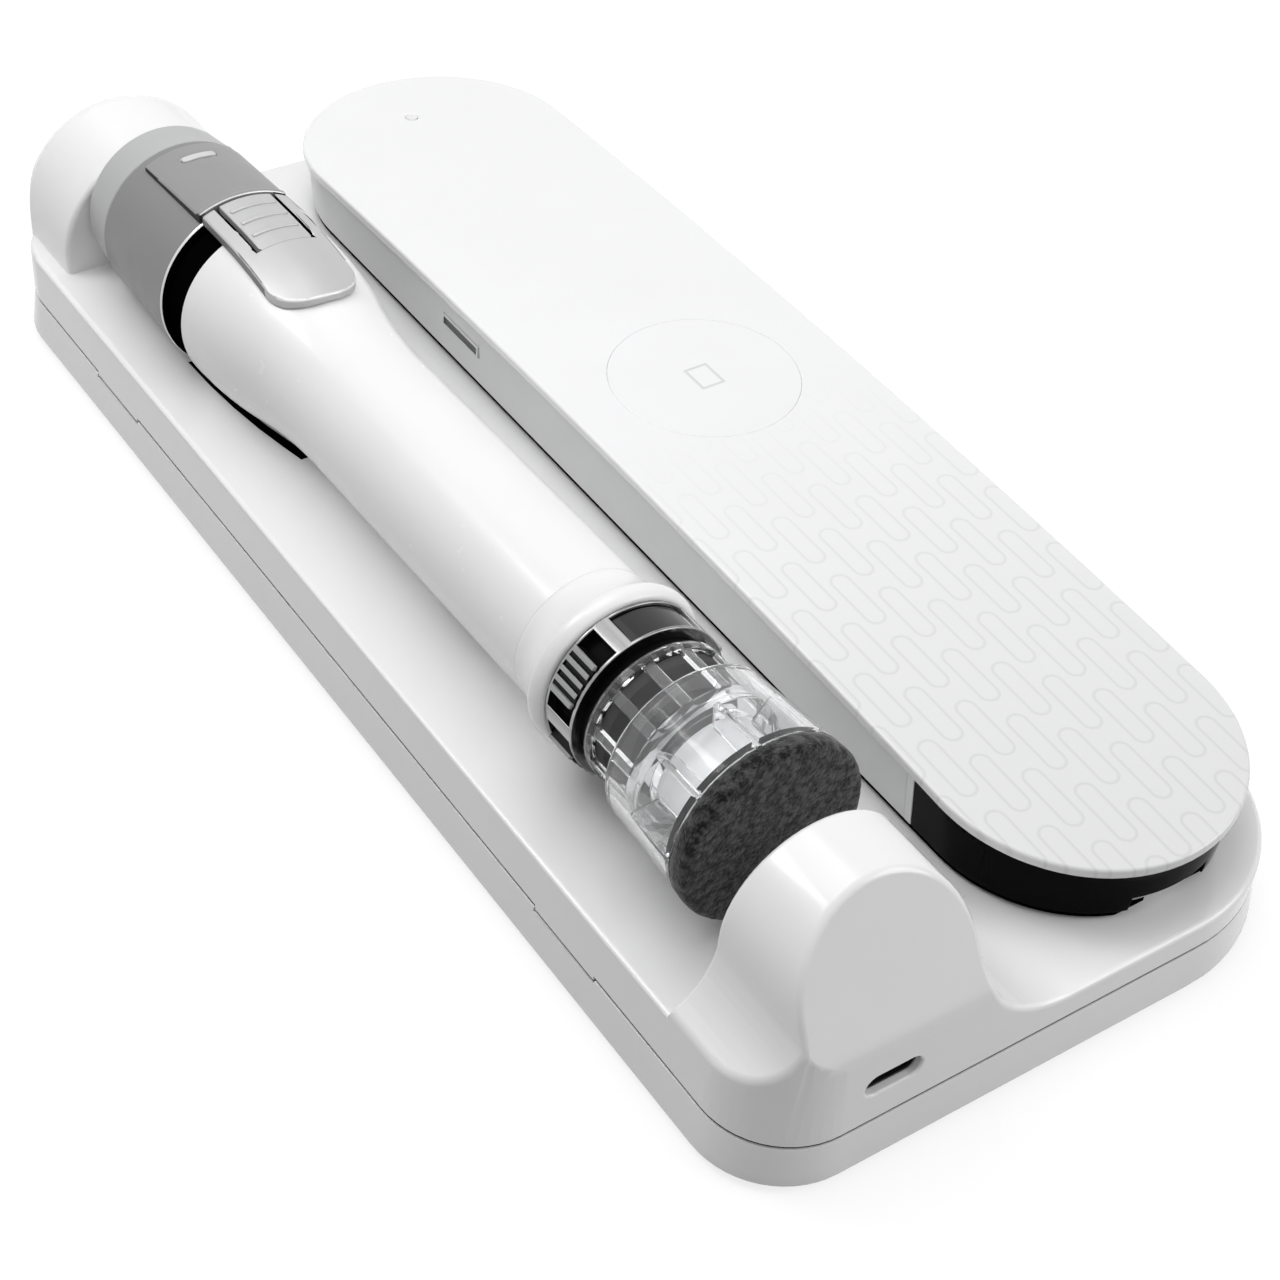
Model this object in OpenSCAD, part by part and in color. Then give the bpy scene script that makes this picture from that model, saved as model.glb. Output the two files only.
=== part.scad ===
// Charging cradle with an electronic whiteboard marker and its receiver bar.
// Millimetres, +Z up, +Y from the inlet end to the far end, marker on the -X side.

/* [Cradle] */
// Length of the cradle
cradle_l = 200; // [198:0.5:206]
// Width of the cradle at the parting line
cradle_w = 89.4; // [88:0.2:96]
// How far the lower shell flares out at its foot
base_flare = 0.8; // [0.2:0.1:1.4]
// Corner radius on the marker side
corner_marker = 11.4; // [9:0.2:13]
// Corner radius on the receiver side
corner_receiver = 23.4; // [18:0.2:26]
// Height of the parting line between the shells
parting_z = 7.4; // [7:0.1:8.4]
// Height of the deck beside the marker
deck_z = 15.4; // [14.6:0.1:16]
// Height of the receiver bed
bed_z = 11.6; // [11.2:0.1:12.6]
// Wall of both shells
shell_wall = 2; // [1.6:0.1:2.4]
// Width of the seam between the shells
seam = 0.5; // [0.2:0.05:0.6]
// Height that the feet stand out
foot_h = 0.8; // [0.5:0.1:1.4]
// Radius of a foot
foot_r = 5; // [3.5:0.1:6]

/* [Posts] */
// Radius of the front post's arch
post_r = 12.5; // [11:0.1:13]
// Height of the front post's arch centre
post_z = 26.3; // [24:0.1:28]
// Length of the front post
post_l = 19; // [16:0.1:20]
// Height where the front face starts to lean
lean_z = 20.5; // [19:0.1:22]
// Lean of the front face
lean_deg = 26.5; // [15:0.5:32]
// Round between the front wall and the leaning face
lean_round = 5; // [2:0.5:10]
// Fillet of the front post towards the wall
fillet_wall = 10.5; // [8:0.1:12]
// Fillet of the front post towards the receiver
fillet_bed = 14.7; // [11:0.1:16]
// Radius of the rear post
rear_r = 15.6; // [14.5:0.1:16.4]
// Height of the rear post's centre
rear_z = 18.2; // [17:0.1:19]
// Length of the rear post
rear_l = 17.4; // [15:0.1:19]
// Round at the far edge of the rear post
rear_round = 4; // [2:0.1:6]

/* [Marker] */
// Distance of the marker's axis from the cradle's side
marker_in = 18; // [17.4:0.1:18.4]
// Gap between the docked felt pad and the front post
pad_gap = 6.5; // [5.8:0.1:9]
// Height of the marker's axis at its rear end
marker_z = 25; // [24.6:0.1:26]
// Nose-up tilt of the marker
marker_tilt = 1.7; // [1:0.1:2]
// Length of the pale end ring
end_ring_l = 7.4; // [5:0.1:9]
// Step from the collar down to the end ring's rear
end_step = 0.9; // [0.4:0.1:1.4]
// Length of the dark collar
collar_l = 20.3; // [18:0.1:23]
// Taper of the collar towards its rear
collar_taper = 0.6; // [0.3:0.1:1]
// Step from the barrel up to the collar
collar_step = 0.2; // [0:0.1:0.4]
// Length of the black gap
gap_l = 5.2; // [4:0.1:7]
// Depth of the black gap below the barrel
gap_depth = 1; // [0.6:0.1:1.4]
// Rear radius of the barrel
barrel_r1 = 13.2; // [12.8:0.1:13.4]
// Waist radius of the barrel
waist_r = 10.1; // [9.9:0.1:10.6]
// Length of the barrel's flare
flare_l = 31; // [26:0.5:36]
// Radius of the sleeve's bore
bore_r = 8.8; // [8.6:0.05:8.9]
// Length of the front ring
ring_l = 8.2; // [6:0.1:9]
// Length of the front ring's lip and bevel
lip_l = 2.2; // [1.6:0.1:3]
// Largest radius of the front ring
ring_r = 12; // [11.6:0.1:12.4]
// Length of the chrome collar
chrome_l = 5.8; // [5.2:0.1:6.6]
// Black step between the chrome collar and the nose guard
nose_gap = 1.6; // [1.2:0.1:2.2]
// Radius of the chrome collar
chrome_r = 11; // [10.8:0.05:11.3]
// Windows round the chrome collar
emitter_n = 5; // [4:1:6]
// Width of a lens block behind a window
lens_w = 6.2; // [4:0.1:7]
// Ribs of the nose guard
rib_n = 12; // [6:1:14]
// Length of the nose guard
guard_l = 12; // [11:0.1:13]
// Distance from the chrome collar to the cap's rim
cap_start = 6.7; // [6:0.1:7.5]
// Length of the clear cap
cap_l = 14.7; // [13:0.1:15.5]
// Rim radius of the clear cap
cap_r1 = 11.7; // [11.5:0.05:12]
// End radius of the clear cap
cap_r2 = 12.7; // [12.2:0.05:13]
// Fins inside the clear cap
fin_n = 8; // [4:1:12]
// Wall of the clear cap
cap_wall = 1.1; // [0.8:0.05:1.2]
// Thickness of the felt pad
felt_t = 2.9; // [2:0.1:3.5]

/* [Tongue] */
// Width of the tongue
tongue_w = 13.2; // [12.6:0.1:14]
// Reach of the tongue past the collar
tongue_l = 24.2; // [22:0.1:28]
// Thickness of the tongue
tongue_t = 1.2; // [1:0.05:1.5]
// Round at the tongue's end corners
tongue_round = 6; // [3:0.1:6]
// Turn of the tongue from the top
tongue_turn = 2; // [0:0.5:8]
// Width of the release tab
tab_w = 8; // [7:0.1:9]
// Length of the release tab
tab_l = 12.2; // [10:0.1:13]
// Gap round the release tab
tab_gap = 0.65; // [0.35:0.05:0.7]
// Ridges on the release tab
ridge_n = 3; // [2:1:5]

/* [Receiver] */
// How much shorter the receiver's lid is than the cradle
rx_short = 3.4; // [3:0.1:9]
// Radius of the lid's round ends
rx_r = 21.6; // [20.5:0.1:22.4]
// Distance of the receiver's middle from the cradle's side
rx_in = 24.9; // [24:0.1:25.4]
// Lift of the lid's middle over its ends
rx_arch = 3; // [1:0.1:4]
// Height of the receiver at its ends, without pads
rx_h = 9.1; // [8.6:0.1:10]
// Thickness of the lid
lid_t = 1.6; // [1.2:0.1:2]
// How much the side draws in towards the bottom
draw_in = 1.3; // [0.6:0.1:1.6]
// Wall of the side band
band_wall = 1.6; // [1.2:0.1:2]
// Length of the black end window along the side
window_l = 27; // [22:0.5:32]
// Width of the divider strip
strip_w = 1.3; // [0.8:0.1:2]
// Radius of the page button
button_r = 13.5; // [11:0.1:14]
// Distance of the page button from the receiver's middle
button_y = 3.9; // [0:0.1:8]
// Length of the side key
key_l = 9.4; // [7:0.1:12]
// Height of the side key
key_h = 1.5; // [1.2:0.1:2]
// Distance of the side key from the receiver's middle
key_y = 35.6; // [30:0.1:42]
// Height of the receiver's rubber pads
pad_h = 1; // [0.8:0.1:1.4]

/* [Fits] */
// Gap between pieces that move apart
move_gap = 0.3; // [0.25:0.05:0.4]
// Travel of the page button
button_travel = 0.6; // [0.4:0.05:0.6]
// Travel of the contact pins
pin_travel = 0.8; // [0.5:0.05:1]

/* [Hidden] */
$fn = 96;
e = 0.01;
mid_z = parting_z + seam / 2;
front_y = -cradle_l / 2;
wall_x = -cradle_w / 2;
axis_x = wall_x + marker_in;
post_back_y = front_y + post_l;
rear_face_y = cradle_l / 2 - rear_l;
ceiling_z = bed_z - shell_wall;
floor_z = foot_h + shell_wall;
boss_marker_in = 9;
boss_receiver_in = 12;
boss_front_in = 36;
boss_back_in = 34;
foot_marker_in = 13;
foot_receiver_in = 16;
foot_end_in = 18;
fillet_reach = 1;
lean_steps = 5;

// Marker stations along its own axis, from its rear end.
collar_r2 = barrel_r1 + collar_step;
collar_r1 = collar_r2 - collar_taper;
end_ring_r = collar_r1 - end_step;
dock_y = rear_face_y - move_gap - end_ring_r * tan(marker_tilt);
u_collar = end_ring_l;
u_gap = u_collar + collar_l;
u_barrel = u_gap + gap_l;
u_waist = u_barrel + flare_l;
nose_l = ring_l + chrome_l + nose_gap + cap_start + cap_l + felt_t;
barrel_l = (dock_y - post_back_y - pad_gap) / cos(marker_tilt) - u_barrel - nose_l;
u_ring = u_barrel + barrel_l;
u_chrome = u_ring + ring_l;
u_guard = u_chrome + chrome_l + nose_gap;
u_cap = u_guard + cap_start;
u_felt = u_cap + cap_l;
u_panel = u_collar + 2;
tongue_lap = 0.4;
tab_set = 0.1;
panel_gap = 0.3;
ridge_in = 2.2;
ridge_end = 3.4;
ridge_pitch = (tab_l - ridge_in - ridge_end) / (ridge_n - 1);
u_tongue = u_gap - tongue_lap;
u_panel_end = u_tongue - panel_gap;
u_tab = u_tongue + tab_set;
u_hinge = u_tab + tab_l;
flare_dr = (barrel_r1 - waist_r) / 2;
flare_R = (pow(flare_l / 2, 2) + pow(flare_dr, 2)) / (2 * flare_dr);
skin = 0.15;
top_r = barrel_r1 + skin + tongue_t;
notch_y = barrel_r1 - 1.7;
cage_r = chrome_r - 1.6;
guard_r = cap_r1 - cap_wall - 0.35;
pen_r = bore_r - 0.4;
pen_travel = 0.6;
switch_l = 3.4;
u_switch = u_barrel - 1.4;
u_pen = u_switch + switch_l + pen_travel + move_gap;
neck_r = cage_r - 4.2;
cup_r = neck_r + 2.2;
window_turn = 74;
window_deg = 60;
window_rim = 0.5;
lens_gap = 0.3;
pane_t = 1.1;
rib_w = 1.5;
cup_turn = 4;
cup_start = 7.3;
cup_wall = 1.2;
cup_end = 1.8;
saddle_share = 0.645;
saddle_l = 10;
cap_end_t = 1.4;
fin_t = 0.9;

// Receiver levels.
rx_l = cradle_l - rx_short;
rx_x = -wall_x - rx_in;
rx_y = cradle_l / 2 - rx_l / 2;
rx_z = bed_z + move_gap + pad_h;
rx_end_z = rx_z + rx_h;
rx_mid_z = rx_end_z + rx_arch;
arch_R = (pow(rx_l / 2, 2) + pow(rx_arch, 2)) / (2 * rx_arch);
arch_steps = 18;
band_r2 = rx_r - 0.15;
band_r1 = band_r2 - draw_in;
band_top = rx_mid_z + 1;
cavity_r = band_r1 - band_wall;
straight_l = rx_l - 2 * rx_r;
window_y = rx_y - rx_l / 2 + window_l;
tray_t = 1.6;
tray_top = rx_z + tray_t;
board_t = 1.4;
board_z = rx_end_z - lid_t - 2.6 - board_t;
board_top = board_z + board_t;
board_front_y = rx_y - straight_l / 2 - cavity_r + 7;
board_back_y = rx_y + key_y + key_l / 2 + 4;
cell_w = 30;
cell_l = 26;
cell_t = 5;
magnet_w = 8;
magnet_l = 18;
magnet_t = 1.2;
key_z = rx_end_z - lid_t - key_h / 2 - 0.6;
key_cy = rx_y + key_y;
band_x = rx_x - band_r1 - draw_in * (key_z - rx_z) / (band_top - rx_z);
screw_r = 1.3;
screw_head_r = 2.4;
boss_r = 3.2;

// Contacts and the cradle's board under them.
bed_pin_y = cradle_l / 2 - 36.3;
bed_pin_dx = 4.5;
bed_block_w = 18;
bed_block_l = 7;
pin_r = 0.9;
pin_flange = 0.4;
post_pin_dx = 3.2;
post_pin_z = marker_z - 2.5;
board_gap = 0.5;
cradle_board_l = 84;
cradle_board_t = 1.6;
board_lift = 1.4;
cradle_board_x1 = -wall_x - boss_receiver_in - boss_r - board_gap;
cradle_board_x0 = axis_x + 7.7;
cradle_board_y1 = bed_pin_y + 23.3;
cradle_board_y0 = cradle_board_y1 - cradle_board_l;
post_inset = 5;

// Inlet.
inlet_w = 7.5;
inlet_h = 2.7;
inlet_d = 5.6;
inlet_recess = 2.1;
inlet_z = (parting_z + lean_z) / 2;
inlet_board_t = 1.2;
inlet_board_z = inlet_z - inlet_h / 2 - inlet_board_t;

// Plan of the cradle, drawn in by a distance.
module plan(inset) {
    w = cradle_w - 2 * inset;
    l = cradle_l - 2 * inset;
    a = max(corner_marker - inset, 1);
    b = max(corner_receiver - inset, 1);
    translate([-w / 2 + a, -l / 2]) square([w - a - b, l]);
    translate([-w / 2, -l / 2 + a]) square([a + e, l - 2 * a]);
    translate([w / 2 - b - e, -l / 2 + b]) square([b + e, l - 2 * b]);
    for (s = [-1, 1]) {
        translate([-w / 2 + a, s * (l / 2 - a)]) circle(a);
        translate([w / 2 - b, s * (l / 2 - b)]) circle(b);
    }
}

module slab(z0, z1, inset = 0) {
    translate([0, 0, z0]) linear_extrude(z1 - z0) plan(inset);
}

// Slab whose wall leans out towards its foot: two prisms, a middle and four corner turns.
module flared_slab(z0, z1, flare) {
    x = cradle_w / 2;
    y = cradle_l / 2;
    translate([-x + corner_marker, 0, 0]) rotate([90, 0, 90])
        linear_extrude(cradle_w - corner_marker - corner_receiver)
            polygon([[-y - flare, z0], [y + flare, z0], [y, z1], [-y, z1]]);
    for (side = [[0, x - corner_receiver, corner_receiver], [180, x - corner_marker, corner_marker]])
        rotate([0, 0, side[0]]) translate([side[1], 0, 0]) {
            rotate([90, 0, 0]) linear_extrude(cradle_l - 2 * side[2], center = true)
                polygon([[0, z0], [side[2] + flare, z0], [side[2], z1], [0, z1]]);
            for (end = [0, 1]) translate([0, (2 * end - 1) * (y - side[2]), 0])
                rotate([0, 0, 90 * end - 90]) rotate_extrude(angle = 90)
                    polygon([[0, z0], [side[2] + flare, z0], [side[2], z1], [0, z1]]);
        }
}

// Places marker pieces: x to the right, y up, z along the axis towards the nose.
module dock() {
    translate([axis_x, dock_y, marker_z]) rotate([90 - marker_tilt, 0, 0]) children();
}

module turned() {
    dock() rotate([0, 0, -tongue_turn]) children();
}

module block(x0, x1, y0, y1, z0, z1) {
    translate([x0, y0, z0]) cube([x1 - x0, y1 - y0, z1 - z0]);
}

// Extrudes an x-z outline along Y.
module along_y(y0, y1) {
    translate([0, y1, 0]) rotate([90, 0, 0]) linear_extrude(y1 - y0) children();
}

// Front post's outline: an arch that sweeps down into the deck and the bed.
module post_outline() {
    bed_fillet = min(fillet_bed, rx_x - band_r1 + fillet_reach - axis_x - post_r);
    translate([axis_x, post_z]) circle(post_r);
    post_flank(-1, fillet_wall, deck_z);
    post_flank(1, bed_fillet, bed_z);
}

// Flank on one side: below the line between the arch's centre and its fillet's centre.
module post_flank(side, fillet, level) {
    cz = level + fillet;
    dx = sqrt(pow(post_r + fillet, 2) - pow(cz - post_z, 2));
    translate([axis_x, 0]) difference() {
        polygon([[0, parting_z], [side * dx, parting_z], [side * dx, cz], [0, post_z]]);
        translate([side * dx, cz]) circle(fillet);
    }
}

module front_post() {
    intersection() {
        along_y(front_y, post_back_y) post_outline();
        slab(mid_z, post_z + post_r + 1);
        translate([-cradle_w, 0, 0]) rotate([90, 0, 90]) linear_extrude(2 * cradle_w) lean_outline();
    }
}

// Side outline of the front face: upright, round, then leaning back.
module lean_outline() {
    top_z = post_z + post_r + 5;
    round_z = lean_z - lean_round * tan(lean_deg / 2);
    polygon(concat(
        [[front_y, 0]],
        [for (a = [0 : lean_deg / lean_steps : lean_deg + e])
            [front_y + lean_round * (1 - cos(a)), round_z + lean_round * sin(a)]],
        [[front_y + (top_z - lean_z) * tan(lean_deg), top_z], [0, top_z], [0, 0]]
    ));
}

module rear_post() {
    intersection() {
        union() {
            translate([axis_x, rear_face_y, rear_z]) rotate([-90, 0, 0]) rotate_extrude() {
                square([rear_r, rear_l - rear_round]);
                square([rear_r - rear_round, rear_l]);
                translate([rear_r - rear_round, rear_l - rear_round]) circle(rear_round);
            }
            block(axis_x - rear_r, axis_x + rear_r, rear_face_y, cradle_l / 2 - rear_round, mid_z, rear_z);
        }
        slab(mid_z, rear_z + rear_r + 1);
    }
}

// Space that the docked marker needs.
module marker_bay() {
    dock() rotate_extrude() {
        polygon([
            [0, -move_gap], [end_ring_r + move_gap, -move_gap], [collar_r1 + move_gap, u_collar],
            [collar_r2 + move_gap, u_gap], [collar_r2 + move_gap, u_barrel], [0, u_barrel]
        ]);
        barrel_outline(move_gap, u_barrel - e, u_waist);
    }
}

module boss_places() {
    for (x = [wall_x + boss_marker_in, -wall_x - boss_receiver_in])
        for (y = [front_y + boss_front_in, -front_y - boss_back_in]) translate([x, y, 0]) children();
}

module latch_places() {
    for (y = [-cradle_l * 0.3, cradle_l * 0.31]) translate([wall_x, y, 0]) children();
}

module cradle_top_shell() {
    color("white") difference() {
        union() {
            difference() {
                union() {
                    slab(mid_z, bed_z);
                    intersection() {
                        slab(mid_z, deck_z);
                        block(wall_x, axis_x + 4, -cradle_l, cradle_l, 0, deck_z);
                    }
                    front_post();
                    rear_post();
                }
                slab(0, ceiling_z, shell_wall);
                marker_bay();
                block(wall_x + shell_wall, wall_x + shell_wall + 4, post_back_y, rear_face_y,
                    0, deck_z - shell_wall);
                block(axis_x - 8, axis_x + 8, front_y + shell_wall + 0.4, post_back_y - shell_wall,
                    0, lean_z);
                block(axis_x - 9, axis_x + 9, rear_face_y + shell_wall, cradle_l / 2 - rear_round - 1,
                    0, rear_z + rear_r - 7);
            }
            boss_places() translate([0, 0, floor_z + 3]) cylinder(r = boss_r, h = ceiling_z + e - floor_z - 3);
            latch_places() block(0, shell_wall * 0.5, -6.5, 6.5, mid_z - 0.7, mid_z + e);
        }
        boss_places() translate([0, 0, 0]) cylinder(r = screw_r, h = ceiling_z - 0.6);
        translate([axis_x, front_y, inlet_z]) rotate([-90, 0, 0]) inlet_slot(0.25, shell_wall + 1);
        post_block_shape(e);
        bed_block_shape(e);
    }
}

module inlet_slot(grow, depth) {
    h = inlet_h + 2 * grow;
    w = inlet_w + 2 * grow;
    translate([0, 0, -1]) linear_extrude(depth + 1) {
        square([w - h, h], center = true);
        for (s = [-1, 1]) translate([s * (w - h) / 2, 0]) circle(h / 2);
    }
}

module cradle_bottom_shell() {
    color("whitesmoke") difference() {
        union() {
            difference() {
                flared_slab(foot_h, parting_z - seam / 2, base_flare);
                slab(floor_z, parting_z, shell_wall);
            }
            boss_places() translate([0, 0, floor_z - e]) cylinder(r = boss_r, h = 3 + e);
            board_posts() cylinder(r = 2.2, h = board_lift + e);
            for (s = [-1, 1])
                translate([axis_x + s * 5, front_y + 9, floor_z - e])
                    cylinder(r = 1.8, h = inlet_board_z - floor_z + e);
        }
        boss_places() cylinder(r = screw_r + 0.2, h = 30);
        boss_places() cylinder(r = screw_head_r + 0.2, h = foot_h + 2.4);
        foot_places() cylinder(r = foot_r + 0.1, h = foot_h + 0.7);
        latch_places() block(-1, shell_wall * 0.5 + 0.2, -6.7, 6.7, mid_z - 0.7 - seam, parting_z);
    }
}

module board_posts() {
    for (x = [cradle_board_x0 + post_inset, cradle_board_x1 - 3])
        for (y = [cradle_board_y0 + post_inset, cradle_board_y1 - post_inset])
            translate([x, y, floor_z - e]) children();
}

module foot_places() {
    for (x = [wall_x + foot_marker_in, -wall_x - foot_receiver_in])
        for (y = [front_y + foot_end_in, -front_y - foot_end_in]) translate([x, y, 0]) children();
}

module cradle_feet() {
    color("dimgray") foot_places() rotate_extrude()
        polygon([[0, 0], [foot_r - 0.6, 0], [foot_r, 0.6], [foot_r, foot_h + 0.7], [0, foot_h + 0.7]]);
}

module cradle_screws() {
    color("silver") boss_places() {
        difference() {
            translate([0, 0, foot_h + 0.6]) cylinder(r = screw_head_r, h = 1.8);
            for (a = [0, 90]) rotate([0, 0, a]) block(-1.5, 1.5, -0.3, 0.3, 0, foot_h + 1.3);
        }
        translate([0, 0, foot_h + 2.4 - e]) cylinder(r = screw_r, h = ceiling_z - foot_h - 3.4);
    }
}

module cradle_board() {
    color("darkgreen") difference() {
        block(cradle_board_x0, cradle_board_x1, cradle_board_y0, cradle_board_y1,
            floor_z + board_lift, floor_z + board_lift + cradle_board_t);
        board_posts() cylinder(r = 1, h = shell_wall + board_lift + cradle_board_t);
    }
}

module inlet_board() {
    color("darkgreen") block(axis_x - 7, axis_x + 7, front_y + shell_wall + 0.6, front_y + 13,
        inlet_board_z, inlet_board_z + inlet_board_t);
}

module inlet_socket() {
    color("silver") translate([axis_x, front_y + inlet_recess, inlet_z]) rotate([-90, 0, 0]) difference() {
        translate([0, 0, 1]) inlet_slot(0, inlet_d - 1);
        translate([0, 0, -e]) translate([0, 0, 1]) inlet_slot(-0.3, inlet_d - 2);
    }
}

module inlet_tongue() {
    color("black") block(axis_x - 1.9, axis_x + 1.9, front_y + inlet_recess + 1,
        front_y + inlet_recess + inlet_d - 1 - e, inlet_z + 0.1, inlet_z + 0.75);
}

module bed_block_shape(grow) {
    w = bed_block_w / 2 + grow;
    l = bed_block_l / 2 + grow;
    block(rx_x - w, rx_x + w, bed_pin_y - l, bed_pin_y + l,
        floor_z + board_lift + cradle_board_t, bed_z + (grow > 0 ? 1 : 0));
}

module bed_contact_block() {
    color("black") difference() {
        bed_block_shape(0);
        for (s = [-1, 1]) translate([rx_x + s * bed_pin_dx, bed_pin_y, 0]) {
            cylinder(r = pin_r + 0.05, h = 30);
            translate([0, 0, floor_z + 3.8]) cylinder(r = pin_r + 0.7, h = bed_z - floor_z - 5.3);
        }
    }
}

module bed_pins() {
    color("gold") for (s = [-1, 1]) translate([rx_x + s * bed_pin_dx, bed_pin_y, 0]) {
        translate([0, 0, floor_z + 3.8 + pin_travel + move_gap])
            cylinder(r = pin_r, h = rx_z - 0.4 - pin_r * 0.6 - floor_z - 3.8 - pin_travel - move_gap);
        translate([0, 0, rx_z - 0.4 - pin_r * 0.6 - e]) cylinder(r1 = pin_r, r2 = pin_r * 0.4, h = pin_r * 0.6);
        translate([0, 0, bed_z - 2.6]) cylinder(r = pin_r + 0.4, h = 0.8);
    }
}

module post_block_shape(grow) {
    block(axis_x - 6 - grow, axis_x + 6 + grow, rear_face_y - (grow > 0 ? 1 : 0), rear_face_y + 7,
        post_pin_z - 3.5 - grow, post_pin_z + 3.5 + grow);
}

module post_contact_block() {
    color("black") difference() {
        post_block_shape(0);
        for (s = [-1, 1])
            translate([axis_x + s * post_pin_dx, rear_face_y - 1, post_pin_z]) rotate([-90, 0, 0]) {
                cylinder(r = pin_r + 0.05, h = 7);
                translate([0, 0, 2.4]) cylinder(r = pin_r + 0.7, h = 4.6);
            }
    }
}

module post_pins() {
    color("gold") for (s = [-1, 1])
        translate([axis_x + s * post_pin_dx, rear_face_y - 0.3, post_pin_z]) rotate([-90, 0, 0]) {
            cylinder(r1 = pin_r * 0.4, r2 = pin_r, h = pin_r * 0.6);
            translate([0, 0, pin_r * 0.6 - e]) cylinder(r = pin_r, h = 4.4);
            translate([0, 0, 2.1]) cylinder(r = pin_r + 0.4, h = 0.8);
        }
}

module marker_saddle() {
    u = u_waist + (u_ring - u_waist) * saddle_share;
    y = dock_y - u * cos(marker_tilt);
    top_z = marker_z + u * sin(marker_tilt) - waist_r + 1.2;
    color("gray") difference() {
        block(axis_x - 2.5, axis_x + 4, y - saddle_l / 2, y + saddle_l / 2, deck_z, top_z);
        dock() cylinder(r = waist_r + move_gap, h = u_ring);
    }
}

// Barrel outline under its surface, raised by a distance, between two stations.
module barrel_outline(raise, u0, u1) {
    half = flare_l / 2;
    intersection() {
        translate([0, u0]) square([barrel_r1 + 10, u1 - u0]);
        union() {
            square([barrel_r1 + raise, u_barrel]);
            intersection() {
                translate([0, u_barrel]) square([barrel_r1 + raise, half]);
                translate([barrel_r1 + raise - flare_R, u_barrel]) circle(flare_R, $fn = 360);
            }
            difference() {
                translate([0, u_barrel + half]) square([waist_r + flare_dr + raise, half]);
                translate([waist_r + raise + flare_R, u_waist]) circle(flare_R, $fn = 360);
            }
            translate([0, u_waist]) square([waist_r + raise, u_ring - u_waist]);
        }
    }
}

// Clearance under the release tab.
module tab_notch() {
    turned() block(-tab_w / 2 - tab_gap, tab_w / 2 + tab_gap, notch_y, notch_y + 6,
        u_tab - tab_gap, u_hinge + tab_gap);
}

module marker_barrel() {
    color("white") difference() {
        dock() rotate_extrude() difference() {
            barrel_outline(0, u_barrel, u_ring);
            translate([0, u_barrel - 1]) square([bore_r, barrel_l + 2]);
        }
        tab_notch();
    }
}

// Front ring: the barrel's line sweeps out to a lip, with a bevel down to the chrome.
module front_ring() {
    rise = ring_r - waist_r;
    sweep_R = (pow(ring_l - lip_l, 2) + pow(rise, 2)) / (2 * rise);
    color("white") dock() rotate_extrude() difference() {
        polygon([
            [bore_r, u_ring], [ring_r, u_ring], [ring_r, u_chrome - lip_l / 2],
            [chrome_r + 0.4, u_chrome], [bore_r, u_chrome]
        ]);
        translate([waist_r + sweep_R, u_ring]) circle(sweep_R, $fn = 240);
    }
}

module chrome_collar() {
    color("silver") difference() {
        dock() rotate_extrude()
            translate([cage_r, u_chrome]) square([chrome_r - cage_r, chrome_l]);
        for (i = [0 : emitter_n - 1]) window_wedge(i, window_deg, window_rim);
    }
}

// Wedge from the axis out through one window of the chrome collar.
module window_wedge(i, deg, rim) {
    reach = chrome_r + 4;
    dock() rotate([0, 0, window_turn + i * 360 / emitter_n])
        translate([0, 0, u_chrome + rim]) linear_extrude(chrome_l - 2 * rim) polygon([
            [0, 0], [reach * cos(deg / 2), -reach * sin(deg / 2)], [reach, 0],
            [reach * cos(deg / 2), reach * sin(deg / 2)]
        ]);
}

// Ring over the sensor cage, up to a height.
module cage_ring(height) {
    dock() rotate_extrude() translate([cage_r, u_chrome]) square([height, chrome_l]);
}

module sensor_cage() {
    color("black") dock() rotate_extrude() polygon([
        [neck_r + 0.4, u_chrome], [cage_r, u_chrome], [cage_r, u_guard + 3],
        [cage_r - 2, u_guard + 6], [neck_r + 0.4, u_guard + 6]
    ]);
}

module emitters() {
    rim = window_rim + lens_gap;
    color("purple") {
        intersection() {
            cage_ring(pane_t);
            window_wedge(0, window_deg - 2, window_rim + 0.1);
        }
        intersection() {
            cage_ring(chrome_r - cage_r - 0.1);
            dock() for (i = [1 : emitter_n - 1]) rotate([0, 0, window_turn + i * 360 / emitter_n])
                block(cage_r - 2, chrome_r + 1, -lens_w / 2, lens_w / 2,
                    u_chrome + rim, u_chrome + chrome_l - rim);
        }
    }
}

module nose_guard() {
    inner_r = cup_r + move_gap;
    color("lightcyan") dock() {
        rotate_extrude() {
            translate([cage_r, u_guard]) square([guard_r - cage_r, 1.4]);
            translate([inner_r, u_guard + guard_l - 2.4]) square([guard_r - inner_r, 2.4]);
        }
        for (i = [0 : rib_n - 1]) rotate([0, 0, (i + 0.5) * 360 / rib_n])
            block(cage_r + 0.1, guard_r - 0.05, -rib_w / 2, rib_w / 2, u_guard + 1, u_guard + guard_l - 1);
    }
}

module gap_ring() {
    color("black") difference() {
        dock() rotate_extrude() difference() {
            translate([0, u_gap]) square([barrel_r1 - gap_depth, gap_l]);
            translate([0, u_switch]) square([bore_r, gap_l]);
        }
        tab_notch();
    }
}

module rear_collar() {
    color("dimgray") difference() {
        dock() rotate_extrude() polygon([
            [collar_r1 - 1.6, u_collar], [collar_r1, u_collar], [collar_r2, u_gap - 0.6],
            [collar_r2 - 0.4, u_gap], [collar_r1 - 1.6, u_gap]
        ]);
        tab_notch();
    }
}

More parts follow.
